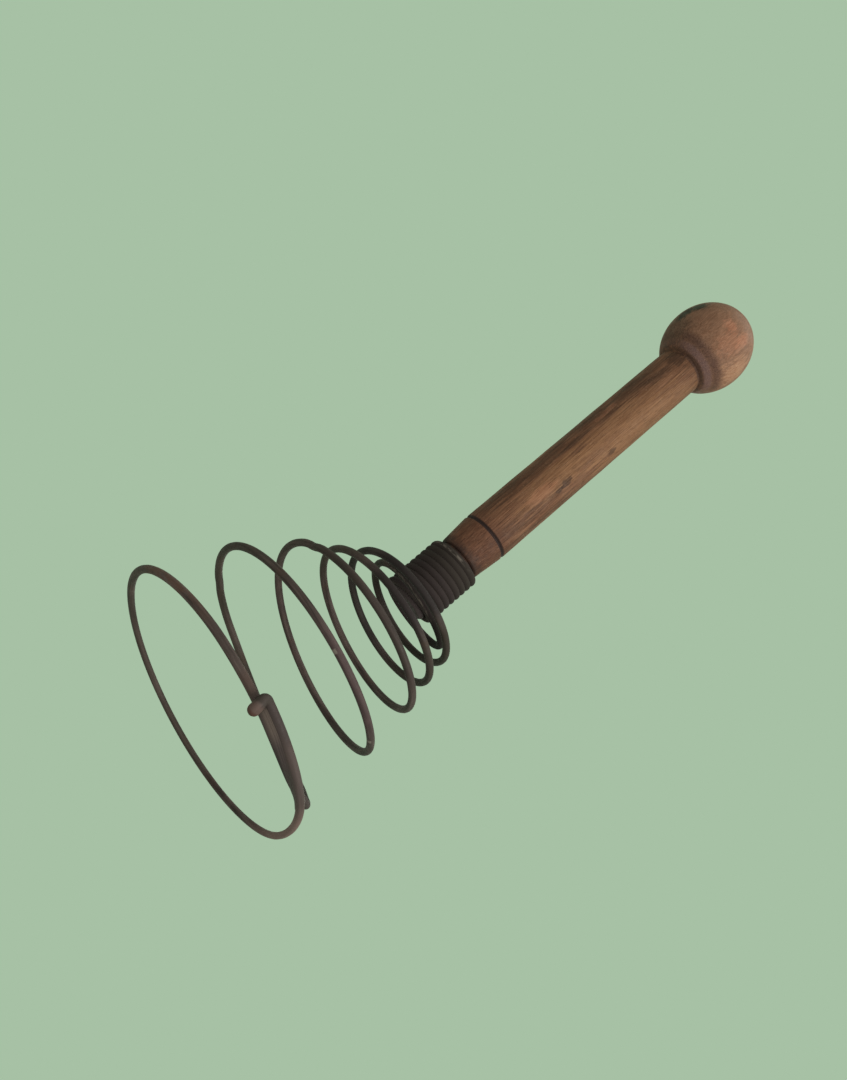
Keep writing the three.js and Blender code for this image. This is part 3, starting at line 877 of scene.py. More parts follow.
@dataclass
class WireRoute:
    """The path of the wire from its clasp to its end in the tenon.

    Turn 0 is in the bottom ring, and each turn has its own middle, height, radius and tip. The
    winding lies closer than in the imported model, where two stretches of the wire may not touch.
    """

    wire_d: float = 2.4
    clearance: float = 0.3
    winding_gap: float = 0.0921
    lap_gap: float = 0.45
    tenon_d: float = 15.2
    ring_r: float = 45.8
    ring_out_of_round: float = 0.8
    ring_long_way: float = 148.0
    start_angle: float = -48.8
    # Turn number, height of the turn's middle and its radius.
    turn_sizes: tuple[tuple[float, ...], ...] = (
        (1.42, 1.1, 45.1),
        (1.6, 12.5, 43.7),
        (1.8, 24.7, 42.1),
        (2.25, 31.8, 38.7),
        (3.0, 46.0, 34.1),
        (4.0, 59.7, 27.7),
        (5.0, 66.2, 23.1),
        (5.5, 72.6, 21.1),
        (6.0, 72.5, 19.4),
        (6.5, 74.5, 16.8),
    )
    # Turn number, the middle's place across and along, and the tip each way in degrees.
    turn_places: tuple[tuple[float, ...], ...] = (
        (1.42, 0.3, 0.1, 17.2, -1.0),
        (2.25, 6.2, 4.7, 4.5, 5.6),
        (3.0, 7.5, 7.5, 3.2, 3.6),
        (4.0, 7.3, 8.8, 7.4, 2.8),
        (5.0, 10.2, 11.6, 5.0, 2.8),
        (6.0, 6.0, 11.7, 9.0, 5.2),
        (6.8, 6.9, 8.8, 19.0, 0.2),
    )
    winding_from: float = 7.0
    winding_turns: float = 8.6
    winding_start: tuple[float, float, float] = (6.9, 8.6, 76.1)
    handle_lean: float = 19.4
    wire_end_depth: float = 5.5
    lap_outset: float = 0.75
    lap_fall: Point2 = (0.37, 0.49)
    # Turn number, how far the wire has risen from the ring, and how far it has moved inwards
    # in steps of the lap.
    climb: tuple[tuple[float, float, float], ...] = (
        (1.16, 0.0, 0.0),
        (1.22, 0.0, 0.25),
        (1.28, 0.0, 0.25),
        (1.31, 0.5, 0.55),
        (1.34, 1.4, 0.7),
        (1.37, 3.1, 0.8),
        (1.4, 5.8, 1.3),
        (1.43, 8.4, 1.8),
        (1.46, 10.9, 2.0),
        (1.5, 14.4, 1.65),
    )
    climb_blend: Point2 = (1.42, 1.54)
    clasp_from: float = 0.2545
    clasp_bend_r: float = 1.75
    clasp_bend_angle: float = 108.0
    clasp_tail: float = 3.3
    # Turn number and the wire's thickness there.
    thickness: tuple[Point2, ...] = (
        (0.2545, 3.1),
        (0.34, 3.0),
        (0.42, 2.5),
        (0.5, 2.24),
        (0.85, 2.26),
        (1.0, 2.6),
        (1.2, 2.7),
        (1.5, 2.76),
        (1.9, 2.66),
        (2.3, 2.57),
        (4.5, 2.6),
        (6.3, 2.58),
        (6.8, 2.8),
        (15.6, 2.8),
    )
    # The clasp's end as packed, which sets how it lies, and as it looks.
    clasp_end_d: float = 3.4
    clasp_visual_d: float = 3.75
    # Small kinks in the free turns: turn number, half their length in turns, and depth.
    kinks: tuple[tuple[float, float, float], ...] = ((1.886, 0.01, -0.5), (3.06, 0.012, -0.6))
    solder_span: Point2 = (0.2485, 0.4)
    solder_r: float = 1.45
    solder_places: tuple[float, ...] = (0.25, 0.5, 0.75)
    solder_trim: float = 0.02
    solder_taper: float = 4.0
    solder_steps: int = 40
    stand_tip: float = 2.511
    rest_direction: float = -84.0
    ring_middle: tuple[float, float, float] = (-15.596, -0.711, 2.962)
    steps_a_turn: int = 120
    bend_steps: int = 14
    dome_angles: tuple[int, ...] = (15, 30, 45, 60, 72, 82)
    # The short way along the wire, in turns, that gives its direction.
    next_turn: float = 0.001

    def __post_init__(self) -> None:
        """Works out the winding, the curves over the turns and how the whisk stands."""
        self.wire_r = self.wire_d / 2
        self.hole_r = self.wire_r + self.clearance
        self.winding_r = self.tenon_d / 2 + self.clearance + self.wire_r
        self.winding_length = (self.wire_d + self.winding_gap) * self.winding_turns
        self.winding_to = self.winding_from + self.winding_turns
        self.lap_step = (self.wire_d + self.lap_gap) / math.sqrt(2)
        lean = math.radians(self.handle_lean)
        self.coil_axis = Vector((math.sin(lean), 0.0, math.cos(lean)))
        self.first = Vector(self.winding_start)
        self.last = self.first + self.coil_axis * self.winding_length
        lean_end = (self.handle_lean, self.handle_lean)
        self.height = self._over_turns(self.turn_sizes, 1, (self.first.z, self.last.z))
        self.radius = self._over_turns(self.turn_sizes, 2, (self.winding_r, self.winding_r))
        self.middle_x = self._over_turns(self.turn_places, 1, (self.first.x, self.last.x))
        self.middle_y = self._over_turns(self.turn_places, 2, (self.first.y, self.last.y))
        self.tip_x = self._over_turns(self.turn_places, 3, lean_end)
        self.tip_y = self._over_turns(self.turn_places, 4, (0.0, 0.0))
        turns, rises, insets = zip(*self.climb)
        self.rise = SmoothCurve(turns, rises)
        self.inset = SmoothCurve(turns, insets)
        self.thick = SmoothCurve(*zip(*self.thickness))
        self.standing = self._standing()

    def _over_turns(
        self, rows: Sequence[Sequence[float]], column: int, winding: Point2
    ) -> SmoothCurve:
        """Carries one column of a list of turns on over the winding.

        Args:
            rows: The list, with the turn number first in each row.
            column: The column.
            winding: The values at the winding's first and last turn.

        Returns:
            The curve.
        """
        turns = [*(row[0] for row in rows), self.winding_from, self.winding_to]
        return SmoothCurve(turns, [*(row[column] for row in rows), *winding])

    def _standing(self) -> Quaternion:
        """Tips the whisk on to its clasp, then turns it until the handle leans towards +X.

        Returns:
            The turn from the ring's own frame to the part's.
        """
        way = math.radians(self.rest_direction)
        tip_axis = UP.cross(Vector((math.cos(way), math.sin(way), 0.0)))
        tipped = Quaternion(tip_axis, math.radians(self.stand_tip))
        leaning = tipped @ self.coil_axis
        return Quaternion(UP, -math.atan2(leaning.y, leaning.x)) @ tipped

    def place(self, point: Vector) -> Vector:
        """Takes a point from the ring's own frame to the part's."""
        return self.standing @ point + Vector(self.ring_middle)

    def handle_axis(self) -> Vector:
        """Gives the direction of the handle in the part's frame."""
        return self.standing @ self.coil_axis

    def _angle(self, turn: float) -> float:
        """Gives the direction of a turn number, in radians."""
        return math.radians(self.start_angle + 360 * turn)

    def _outward(self, turn: float) -> Vector:
        """Gives the flat outward direction at a turn number."""
        return Vector((math.cos(self._angle(turn)), math.sin(self._angle(turn)), 0.0))

    def _ring_point(self, turn: float) -> Vector:
        """Gives a point of the flat ring and of its lapped ends.

        Args:
            turn: The turn number.

        Returns:
            The point in the ring's own frame.
        """
        long_way = math.radians(self.ring_long_way)
        out_of_round = math.cos(2 * (self._angle(turn) - long_way))
        lifted = 1 - smooth_step(turn, *self.lap_fall)
        shift = (lifted * self.lap_outset - self.inset.at(turn)) * self.lap_step
        radius = self.ring_r + self.ring_out_of_round * out_of_round + shift
        return self._outward(turn) * radius + UP * (lifted * self.lap_step + self.rise.at(turn))

    def _middle(self, turn: float) -> Vector:
        """Gives the middle that a turn of the cone or the winding runs round.

        Args:
            turn: The turn number.

        Returns:
            The point in the ring's own frame.
        """
        if turn > self.winding_from:
            share = (turn - self.winding_from) / self.winding_turns
            return self.first.lerp(self.last, share)
        return Vector((self.middle_x.at(turn), self.middle_y.at(turn), self.height.at(turn)))

    def _coil_point(self, turn: float) -> Vector:
        """Gives a point of the cone or the winding.

        Args:
            turn: The turn number.

        Returns:
            The point in the ring's own frame.
        """
        tips = (math.radians(self.tip_x.at(turn)), math.radians(self.tip_y.at(turn)))
        normal = Vector((math.tan(tips[0]), math.tan(tips[1]), 1.0)).normalized()
        across = Vector((1.0, 0.0, 0.0))
        across = (across - normal * across.dot(normal)).normalized()
        along = normal.cross(across)
        angle = self._angle(turn)
        spoke = across * math.cos(angle) + along * math.sin(angle)
        bent = sum(depth * math.exp(-(((turn - at) / wide) ** 2)) for at, wide, depth in self.kinks)
        return self._middle(turn) + spoke * (self.radius.at(turn) + bent)

    def point(self, turn: float) -> Vector:
        """Gives the wire's point at a turn number, in the ring's own frame."""
        blend = smooth_step(turn, *self.climb_blend)
        return self._ring_point(turn).lerp(self._coil_point(turn), blend)

    def _clasp(self) -> list[Station]:
        """Lays out the clasp as a bend and a tail and rolls it round the ring's lower end.

        Returns:
            The clasp's sections, from the ring outwards, with a domed end.
        """
        bend = math.radians(self.clasp_bend_angle)
        bend_r = self.clasp_bend_r
        steps = 2 * self.bend_steps
        flat = []
        for i in range(1, steps + 1):
            a = bend * i / steps
            flat.append((bend_r * math.sin(a), bend_r * (1 - math.cos(a)), bend_r * a))
        back, round_, run = flat[-1]
        for i in range(1, self.bend_steps + 1):
            d = self.clasp_tail * i / self.bend_steps
            flat.append((back + d * math.cos(bend), round_ + d * math.sin(bend), run + d))
        full = run + self.clasp_tail
        ring_length = 2 * math.pi * self.ring_r
        start_r = self.thick.at(self.clasp_from) / 2
        stations = []
        for back, round_, run in flat:
            cad_r = self.wire_r + (self.clasp_end_d / 2 - self.wire_r) * run / full
            reach = self.wire_r + self.lap_gap + cad_r
            radius = start_r + (self.clasp_visual_d / 2 - start_r) * run / full
            turn = self.clasp_from + 1 - back / ring_length
            # It starts outwards and up at 45 degrees, as the lap's upper stretch, and rolls down.
            angle = math.pi / 4 - round_ / reach
            spoke = self._outward(turn) * math.cos(angle) + UP * math.sin(angle)
            point = self.point(turn) + spoke * reach
            stations.append(Station(point, radius, self.clasp_from - run / ring_length, spoke))
        return stations + self._dome(stations[-1], stations[-2])

    def _dome(self, end: Station, before: Station) -> list[Station]:
        """Closes the wire's end over its own radius.

        Args:
            end: The last section.
            before: The section before it.

        Returns:
            The dome's sections.
        """
        direction = (end.point - before.point).normalized()
        steps = [math.sin(math.radians(a)) for a in self.dome_angles]
        return [
            Station(
                end.point + direction * (s * end.radius),
                end.radius * math.sqrt(1 - s * s),
                end.turn,
                end.outward,
            )
            for s in steps
        ]

    def solder(self, place: float) -> list[Station]:
        """Lays one run of the old solder that fills the lap flush.

        Args:
            place: Where it lies, from 0 at the lower stretch of the wire to 1 at the upper.

        Returns:
            The run's sections in the part's frame, in millimetres.
        """
        strip = []
        start, end = self.solder_span
        for share in np.linspace(self.solder_trim, 1 - self.solder_trim, self.solder_steps):
            turn = start + (end - start) * float(share)
            lower, upper = self.point(turn + 1), self.point(turn)
            across = (upper - lower).normalized()
            along = (self.point(turn + self.next_turn) - upper).normalized()
            outward = along.cross(across).normalized()
            if outward.dot(self._outward(turn)) < 0:
                outward.negate()
            taper = min(1.0, self.solder_taper * math.sqrt(share * (1 - share)))
            radius = self.solder_r * taper
            flush = (self.thick.at(turn) + self.thick.at(turn + 1)) / 4 - radius
            point = self.place(lower.lerp(upper, place) + outward * flush)
            strip.append(Station(point, radius, turn - 1, self.standing @ outward))
        return strip

    def inner_end(self) -> tuple[Vector, Vector, list[Vector]]:
        """Bends the wire's other end into the tenon's side.

        Returns:
            The mouth of its hole, the direction inwards, and the end's points.
        """
        start = self.point(self.winding_to)
        inward = (self.last - start).normalized()
        onward = start - self.point(self.winding_to - self.next_turn)
        onward = (onward - inward * onward.dot(inward)).normalized()
        points = []
        for i in range(1, self.bend_steps + 1):
            a = math.pi / 2 * i / self.bend_steps
            swing = onward * math.sin(a) + inward * (1 - math.cos(a))
            points.append(start + swing * self.hole_r)
        mouth = points[-1]
        points.append(mouth + inward * self.wire_end_depth)
        return mouth, inward, points

    def stations(self) -> list[Station]:
        """Gives every section of the wire from the clasp's end to the tenon.

        Returns:
            The sections in the part's frame, in millimetres.
        """
        count = round((self.winding_to - self.clasp_from) * self.steps_a_turn)
        turns = np.linspace(self.clasp_from, self.winding_to, count)
        route = list(reversed(self._clasp()))
        for turn in turns:
            point = self.point(turn)
            outward = (point - self._middle(turn)).normalized()
            route.append(Station(point, self.thick.at(turn) / 2, float(turn), outward))
        _, inward, points = self.inner_end()
        shares = np.linspace(1.0, 0.0, len(points))
        swollen = self.thick.at(self.winding_to) / 2 - self.wire_r
        for p, share in zip(points, shares):
            radius = self.wire_r + swollen * share
            route.append(Station(p, radius, self.winding_to, -inward))
        for station in route:
            station.point = self.place(station.point)
            station.outward = self.standing @ station.outward
        return route


def deselect_all() -> None:
    """Leaves no object selected."""
    bpy.ops.object.select_all(action="DESELECT")


def select_only(piece: bpy.types.Object) -> None:
    """Selects one piece and makes it active.

    Args:
        piece: The piece.
    """
    deselect_all()
    piece.select_set(True)
    bpy.context.view_layer.objects.active = piece


def open_mesh(piece: bpy.types.Object) -> None:
    """Goes to edit mode on one piece with everything on it selected.

    Args:
        piece: The piece.
    """
    select_only(piece)
    bpy.ops.object.mode_set(mode="EDIT")
    bpy.ops.mesh.select_all(action="SELECT")


def close_mesh() -> None:
    """Goes back to object mode."""
    bpy.ops.object.mode_set(mode="OBJECT")


def close_skin() -> None:
    """Merges the open mesh's doubles, turns its faces outwards and leaves edit mode."""
    bpy.ops.mesh.select_all(action="SELECT")
    bpy.ops.mesh.remove_doubles(threshold=WELD)
    bpy.ops.mesh.normals_make_consistent(inside=False)
    close_mesh()


def apply_modifier(piece: bpy.types.Object, kind: str, **settings: object) -> None:
    """Adds a modifier to a piece and applies it.

    Args:
        piece: The piece.
        kind: Blender's name of the modifier's type.
        **settings: The modifier's settings.
    """
    modifier = piece.modifiers.new(kind.lower(), kind)
    for name, value in settings.items():
        setattr(modifier, name, value)
    select_only(piece)
    bpy.ops.object.modifier_apply(modifier=modifier.name)


def settle(piece: bpy.types.Object) -> None:
    """Puts a piece's place and turn into its mesh."""
    select_only(piece)
    bpy.ops.object.transform_apply(location=True, rotation=True, scale=True)


def smooth(piece: bpy.types.Object, angle: float) -> None:
    """Shades a piece smoothly where its faces meet at less than an angle in degrees."""
    select_only(piece)
    bpy.ops.object.shade_smooth_by_angle(angle=math.radians(angle))


@dataclass
class WhiskWire:
    """The one steel wire: ring, clasp, cone and winding."""

    route: WireRoute
    finish: SteelFinish = field(default_factory=SteelFinish)
    name: str = "whisk_wire"
    section_detail: int = 6
    smooth_angle: float = 40.0

    def build(self) -> bpy.types.Object:
        """Draws the wire and the lap's solder, and flattens them where the whisk stands.

        Returns:
            The wire's mesh object.
        """
        solder = [self._tube(self.route.solder(place)) for place in self.route.solder_places]
        wire = self._tube(self.route.stations())
        wire.name = self.name
        for run in solder:
            run.select_set(True)
        bpy.ops.object.join()
        open_mesh(wire)
        bpy.ops.mesh.bisect(
            plane_co=(0.0, 0.0, 0.0),
            plane_no=tuple(UP),
            threshold=CUT_REACH,
            use_fill=True,
            clear_inner=True,
        )
        close_mesh()
        smooth(wire, self.smooth_angle)
        return wire

    def _tube(self, stations: Sequence[Station]) -> bpy.types.Object:
        """Draws round wire through sections.

        Args:
            stations: The wire's sections.

        Returns:
            The closed tube, selected and active.
        """
        deselect_all()
        bpy.ops.curve.primitive_nurbs_path_add(location=(0.0, 0.0, 0.0))
        curve = bpy.context.active_object.data
        curve.splines.clear()
        spline = curve.splines.new("POLY")
        spline.points.add(len(stations) - 1)
        for point, station in zip(spline.points, stations):
            point.co = (*(station.point * MM), 1.0)
            point.radius = station.radius / self.route.wire_r
        curve.dimensions = "3D"
        curve.twist_mode = "MINIMUM"
        curve.bevel_depth = self.route.wire_r * MM
        curve.bevel_resolution = self.section_detail
        curve.use_fill_caps = True
        bpy.ops.object.convert(target="MESH")
        tube = bpy.context.active_object
        self._lay_coordinates(tube.data, stations)
        open_mesh(tube)
        close_skin()
        return tube

    def _lay_coordinates(self, mesh: bpy.types.Mesh, stations: Sequence[Station]) -> None:
        """Writes where each point lies on the wire pulled straight, for the finish.

        Args:
            mesh: The wire's mesh, ring by ring.
            stations: The wire's sections.
        """
        # Blender gives a bevelled curve this many points a section.
        around = (self.section_detail + 2) * 2
        places = np.zeros(len(mesh.vertices) * 3)
        mesh.vertices.foreach_get("co", places)
        places = places.reshape(-1, 3) / MM
        points = np.array([s.point for s in stations])
        outwards = np.array([s.outward for s in stations])
        turns = np.array([s.turn for s in stations])
        runs = np.concatenate([[0.0], np.cumsum(np.linalg.norm(np.diff(points, axis=0), axis=1))])
        tangents = np.gradient(points, axis=0)
        tangents /= np.linalg.norm(tangents, axis=1)[:, None]
        sides = np.cross(tangents, outwards)
        sides /= np.linalg.norm(sides, axis=1)[:, None]
        row = np.minimum(np.arange(len(places)) // around, len(stations) - 1)
        offset = places - points[row]
        out = np.einsum("ij,ij->i", offset, outwards[row])
        side = np.einsum("ij,ij->i", offset, sides[row])
        straight = np.stack([out, side, runs[row]], axis=1)
        outward_share = out / np.maximum(np.linalg.norm(offset, axis=1), SMALLEST)
        self._store(mesh, "straight", "FLOAT_VECTOR", straight)
        self._store(mesh, "turn", "FLOAT", turns[row])
        self._store(mesh, "outward", "FLOAT", outward_share)

    @staticmethod
    def _store(mesh: bpy.types.Mesh, name: str, kind: str, values: np.ndarray) -> None:
        """Stores a value at every point of a mesh.

        Args:
            mesh: The mesh.
            name: The attribute's name.
            kind: Its data type.
            values: The values, one row a point.
        """
        attribute = mesh.attributes.new(name, kind, "POINT")
        part = "vector" if kind == "FLOAT_VECTOR" else "value"
        attribute.data.foreach_set(part, values.astype(np.float32).ravel())

    def dress(self, wire: bpy.types.Object, effects: EffectGroups) -> None:
        """Gives the wire its steel.

        Args:
            wire: The wire.
            effects: The shared node groups.
        """
        sheet = Surface("old_steel_wire")
        look = self.finish
        straight = sheet.stored("straight", "Vector")
        turn = sheet.stored("turn")
        place = sheet.stretched(sheet.object_place(), (1 / MM, 1 / MM, 1 / MM))

        drawn = sheet.grain(straight, look.drawing)
        tones = (look.dark, look.middle, look.light)
        colour = sheet.tones(drawn, tuple(zip(look.tone_places, tones)))
        colour = sheet.paint(colour, look.worn, effects.spread(sheet, place, look.wear))
        colour = sheet.paint(colour, look.rust, effects.spread(sheet, place, look.rusting))
        streaks = effects.spread(sheet, straight, look.streaks)
        for zone in look.zones:
            colour = sheet.paint_zone(colour, turn, zone, streaks if zone.patchy else 1.0)
        between_turns = sheet.between(sheet.stored("outward"), *look.valley_range)
        # Painted light on the flanks of the wound turns, easing the shade in the gaps between them.
        colour = sheet.paint(
            colour, look.valley_fill_light, sheet.product(sheet.between(turn, *look.wound_fill_light), between_turns)
        )
        colour = self._paint_dust_highlight_and_nicks(sheet, colour, turn, straight)
        specks = sheet.group(
            effects.specks,
            {
                "Vector": place,
                "Scale": look.speck_scale,
                "Size": look.speck_size,
                "Share": look.speck_share,
            },
        )
        colour = sheet.paint(colour, look.speck, specks, look.speck_strength)

        pits = sheet.grain(place, look.pits)
        polished, dull = look.sheen.roughness
        gloss = sheet.between(pits, look.pits.start, look.pits.full, dull, polished)
        plain = sheet.window(turn, look.smooth_stretch)
        dulled = sheet.math("MAXIMUM", plain, sheet.between(turn, *look.wound_dull))
        roughness = sheet.math("MAXIMUM", gloss, sheet.product(dulled, look.dull_roughness))
        relief = sheet.math("ADD", sheet.product(drawn, look.drawing_relief), pits)
        relief = sheet.product(relief, sheet.math("SUBTRACT", 1.0, plain))
        sheet.lay_on(wire, colour, roughness, relief, look.sheen)

    def _paint_dust_highlight_and_nicks(
        self,
        sheet: NodeSheet,
        colour: bpy.types.NodeSocket,
        turn: bpy.types.NodeSocket,
        straight: bpy.types.NodeSocket,
    ) -> bpy.types.NodeSocket:
        """Leaves broken lines of pale dust and painted highlight, and two small pale nicks.

        Args:
            sheet: The material's sheet.
            colour: The colour so far.
            turn: The turn number.
            straight: Place on the wire pulled straight: out, aside and along, in millimetres.

        Returns:
            The dusty colour.
        """
        look = self.finish
        parts = sheet.node("ShaderNodeSeparateXYZ", {"Vector": straight}).outputs
        flecks = sheet.grain_mask(straight, look.flecks)
        # Two broken lines of pale dust and painted highlight.
        for (along, across), part in ((look.pale_dust_and_highlight_aside, "Y"), (look.pale_dust_and_highlight_on_top, "X")):
            line = sheet.product(sheet.window(turn, along), sheet.window(parts[part], across))
            colour = sheet.paint(
                colour, look.pale_dust_and_highlight, sheet.product(line, flecks), look.pale_dust_and_highlight_strength
            )
        aside = sheet.window(parts["Y"], look.nick_aside)
        for nick in look.nicks:
            along = sheet.window(turn, tuple(nick + edge for edge in look.nick_reach))
            colour = sheet.paint(
                colour, look.pale_dust_and_highlight, sheet.product(along, aside), look.nick_strength
            )
        return colour

    def fit(self, wire: bpy.types.Object) -> None:
        """Puts the wire's place into its mesh and hides the imported wire.

        Args:
            wire: The wire.
        """
        first = self.route.place(self.route.first) * MM
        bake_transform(wire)
        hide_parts("spiral_wire")


@dataclass
class BallHandle:
    """The turned handle: tenon, neck, shaft with a V-groove, cove and ball."""

    route: WireRoute
    finish: WoodFinish = field(default_factory=WoodFinish)
    name: str = "whisk_handle"
    tenon_below: float = 2.0
    tenon_chamfer: float = 1.0
    neck_shoulder: float = 1.05
    neck_edge_r: float = 0.6
    shaft_low_d: float = 19.3
    shaft_top_d: float = 19.0
    groove_at: float = 35.8
    groove_width: float = 1.5
    groove_depth: float = 0.9
    # Points of the groove, as shares of half its width and of its depth.
    groove_points: tuple[Point2, ...] = ((-0.3, 0.8), (0.0, 1.0), (0.3, 0.8), (1.0, 0.0))
    ball_at: float = 158.0
    ball_d: float = 34.2
    ball_long: float = 38.4
    cove_width: float = 1.6
    cove_depth: float = 0.45
    # Points of the cove, as shares of its width and of its depth.
    cove_points: tuple[Point2, ...] = ((-0.25, 0.75), (0.0, 1.0), (0.27, 0.7))
    edge_width: float = 0.15
    edge_steps: int = 2
    edge_angle: float = 30.0
    smooth_angle: float = 38.0
    # How uneven the turned wood has become: its size, detail, depth and share that goes inwards.
    wear_size: float = 14.0
    wear_detail: int = 1
    wear_depth: float = 0.22
    wear_inwards: float = 0.6
    steps_round: int = 112
    neck_steps: int = 4
    shaft_steps: int = 40
    ball_steps: int = 44
    drill_sides: int = 32
    # Where the colours of the ball and the neck start and are full, from the ball's middle and
    # from the groove, and where the tenon's end starts and is full.
    ball_colour: Point2 = (-15.0, -9.0)
    neck_colour: Point2 = (10.0, -2.0)
    tenon_colour: Point2 = (4.0, 0.0)
    # Where the painted shade in the groove starts and is full, as shares of half its width.
    groove_shade_edges: Point2 = (1.3, 0.6)

    def _shaft_end(self) -> float:
        """Gives the length along the handle where the shaft runs into the ball."""
        share = self.shaft_top_d / self.ball_d
        return self.ball_at - self.ball_long / 2 * math.sqrt(1 - share * share)

    def _outline(self) -> list[Point2]:
        """Gives the turned outline from the tenon's end to the top of the ball.

        Returns:
            The outline's points, radius and length in millimetres.
        """
        tenon_r = self.route.tenon_d / 2
        neck_r = tenon_r + self.neck_shoulder
        neck_at = self.route.winding_length + self.route.wire_r + self.route.clearance
        low_r = self.shaft_low_d / 2
        top_r = self.shaft_top_d / 2
        ball_r = self.ball_d / 2
        half_long = self.ball_long / 2
        shaft_end = self._shaft_end()
        ball_start = math.asin((shaft_end + self.cove_width / 2 - self.ball_at) / half_long)
        half = self.groove_width / 2
        outline = [
            (0.0, -self.tenon_below),
            (tenon_r - self.tenon_chamfer, -self.tenon_below),
            (tenon_r, self.tenon_chamfer - self.tenon_below),
            (tenon_r, neck_at / 2),
            (tenon_r, neck_at),
            (neck_r - self.neck_edge_r, neck_at),
            (neck_r, neck_at + self.neck_edge_r),
        ]
        outline += self._run(outline[-1], (low_r, self.groove_at - half), self.neck_steps)
        for along, deep in self.groove_points:
            outline.append((low_r - self.groove_depth * deep, self.groove_at + half * along))
        cove_start = (top_r, shaft_end - self.cove_width / 2)
        outline += self._run(outline[-1], cove_start, self.shaft_steps)
        for along, deep in self.cove_points:
            outline.append((top_r - self.cove_depth * deep, shaft_end + self.cove_width * along))
        for i in range(self.ball_steps):
            a = ball_start + (math.pi / 2 - ball_start) * i / self.ball_steps
            outline.append((ball_r * math.cos(a), self.ball_at + half_long * math.sin(a)))
        outline.append((0.0, self.ball_at + half_long))
        return outline

    @staticmethod
    def _run(start: Point2, end: Point2, parts: int) -> list[Point2]:
        """Divides a straight stretch of the outline.

        Args:
            start: The point before the stretch, which is left out.
            end: The stretch's last point.
            parts: The number of parts.

        Returns:
            The points of the stretch.
        """
        shares = [i / parts for i in range(1, parts + 1)]
        return [tuple(a + (b - a) * s for a, b in zip(start, end)) for s in shares]

    def build(self) -> bpy.types.Object:
        """Turns the handle as on a lathe, wears it a little, drills it and stands it in place.

        Returns:
            The handle's mesh object.
        """
        outline = self._outline()
        deselect_all()
        bpy.ops.mesh.primitive_plane_add(size=MM, location=(0.0, 0.0, outline[0][1] * MM))
        handle = bpy.context.active_object
        handle.name = self.name
        settle(handle)
        open_mesh(handle)
        bpy.ops.mesh.merge(type="CENTER")
        for (r0, l0), (r1, l1) in zip(outline, outline[1:]):
            step = ((r1 - r0) * MM, 0.0, (l1 - l0) * MM)
            bpy.ops.mesh.extrude_vertices_move(TRANSFORM_OT_translate={"value": step})
        bpy.ops.mesh.select_all(action="SELECT")
        bpy.ops.mesh.spin(
            steps=self.steps_round,
            angle=math.tau,
            center=(0.0, 0.0, 0.0),
            axis=tuple(UP),
        )
        close_skin()
        apply_modifier(
            handle,
            "BEVEL",
            width=self.edge_width * MM,
            segments=self.edge_steps,
            limit_method="ANGLE",
            angle_limit=math.radians(self.edge_angle),
        )
        self._wear(handle)
        handle.location = self.route.place(self.route.first) * MM
        handle.rotation_euler = (0.0, self._lean(), 0.0)
        settle(handle)
        self._drill(handle)
        smooth(handle, self.smooth_angle)
        return handle

    def _lean(self) -> float:
        """Gives the handle's lean from upright, in radians."""
        axis = self.route.handle_axis()
        return math.atan2(axis.x, axis.z)

    def _wear(self, handle: bpy.types.Object) -> None:
        """Takes the handle a little out of true, as use and shrinking do.

        Args:
            handle: The handle, upright and not yet in place.
        """
        unevenness = bpy.data.textures.new("handle_wear", "CLOUDS")
        unevenness.noise_scale = self.wear_size * MM
        unevenness.noise_depth = self.wear_detail
        apply_modifier(
            handle,
            "DISPLACE",
            texture=unevenness,
            texture_coords="LOCAL",
            strength=self.wear_depth * MM,
            mid_level=self.wear_inwards,
        )

    def _drill(self, handle: bpy.types.Object) -> None:
        """Cuts the hole that takes the wire's end.

        Args:
            handle: The handle, in place.
        """
        mouth, inward, _ = self.route.inner_end()
        inward = self.route.standing @ inward
        depth = self.route.wire_end_depth + self.route.clearance
        bottom = self.route.place(mouth) + inward * depth
        length = depth + self.route.winding_r
        deselect_all()
        bpy.ops.mesh.primitive_cylinder_add(
            vertices=self.drill_sides,
            radius=self.route.hole_r * MM,
            depth=length * MM,
            location=(bottom - inward * (length / 2)) * MM,
            rotation=inward.to_track_quat("Z", "Y").to_euler(),
        )
        drill = bpy.context.active_object
        settle(drill)
        apply_modifier(handle, "BOOLEAN", object=drill, operation="DIFFERENCE", solver="EXACT")
        bpy.data.objects.remove(drill)

    def dress(self, handle: bpy.types.Object, effects: EffectGroups) -> None:
        """Gives the handle its wood.

        Args:
            handle: The handle.
            effects: The shared node groups.
        """
        sheet = Surface("old_turned_wood")
        look = self.finish
        own = sheet.node(
            "ShaderNodeMapping",
            {
                "Vector": sheet.object_place(),
                "Location": tuple(self.route.place(self.route.first) * MM),
                "Rotation": (0.0, self._lean(), 0.0),
                "Scale": (MM, MM, MM),
            },
            vector_type="TEXTURE",
        ).outputs["Vector"]
        length = sheet.node("ShaderNodeSeparateXYZ", {"Vector": own}).outputs["Z"]

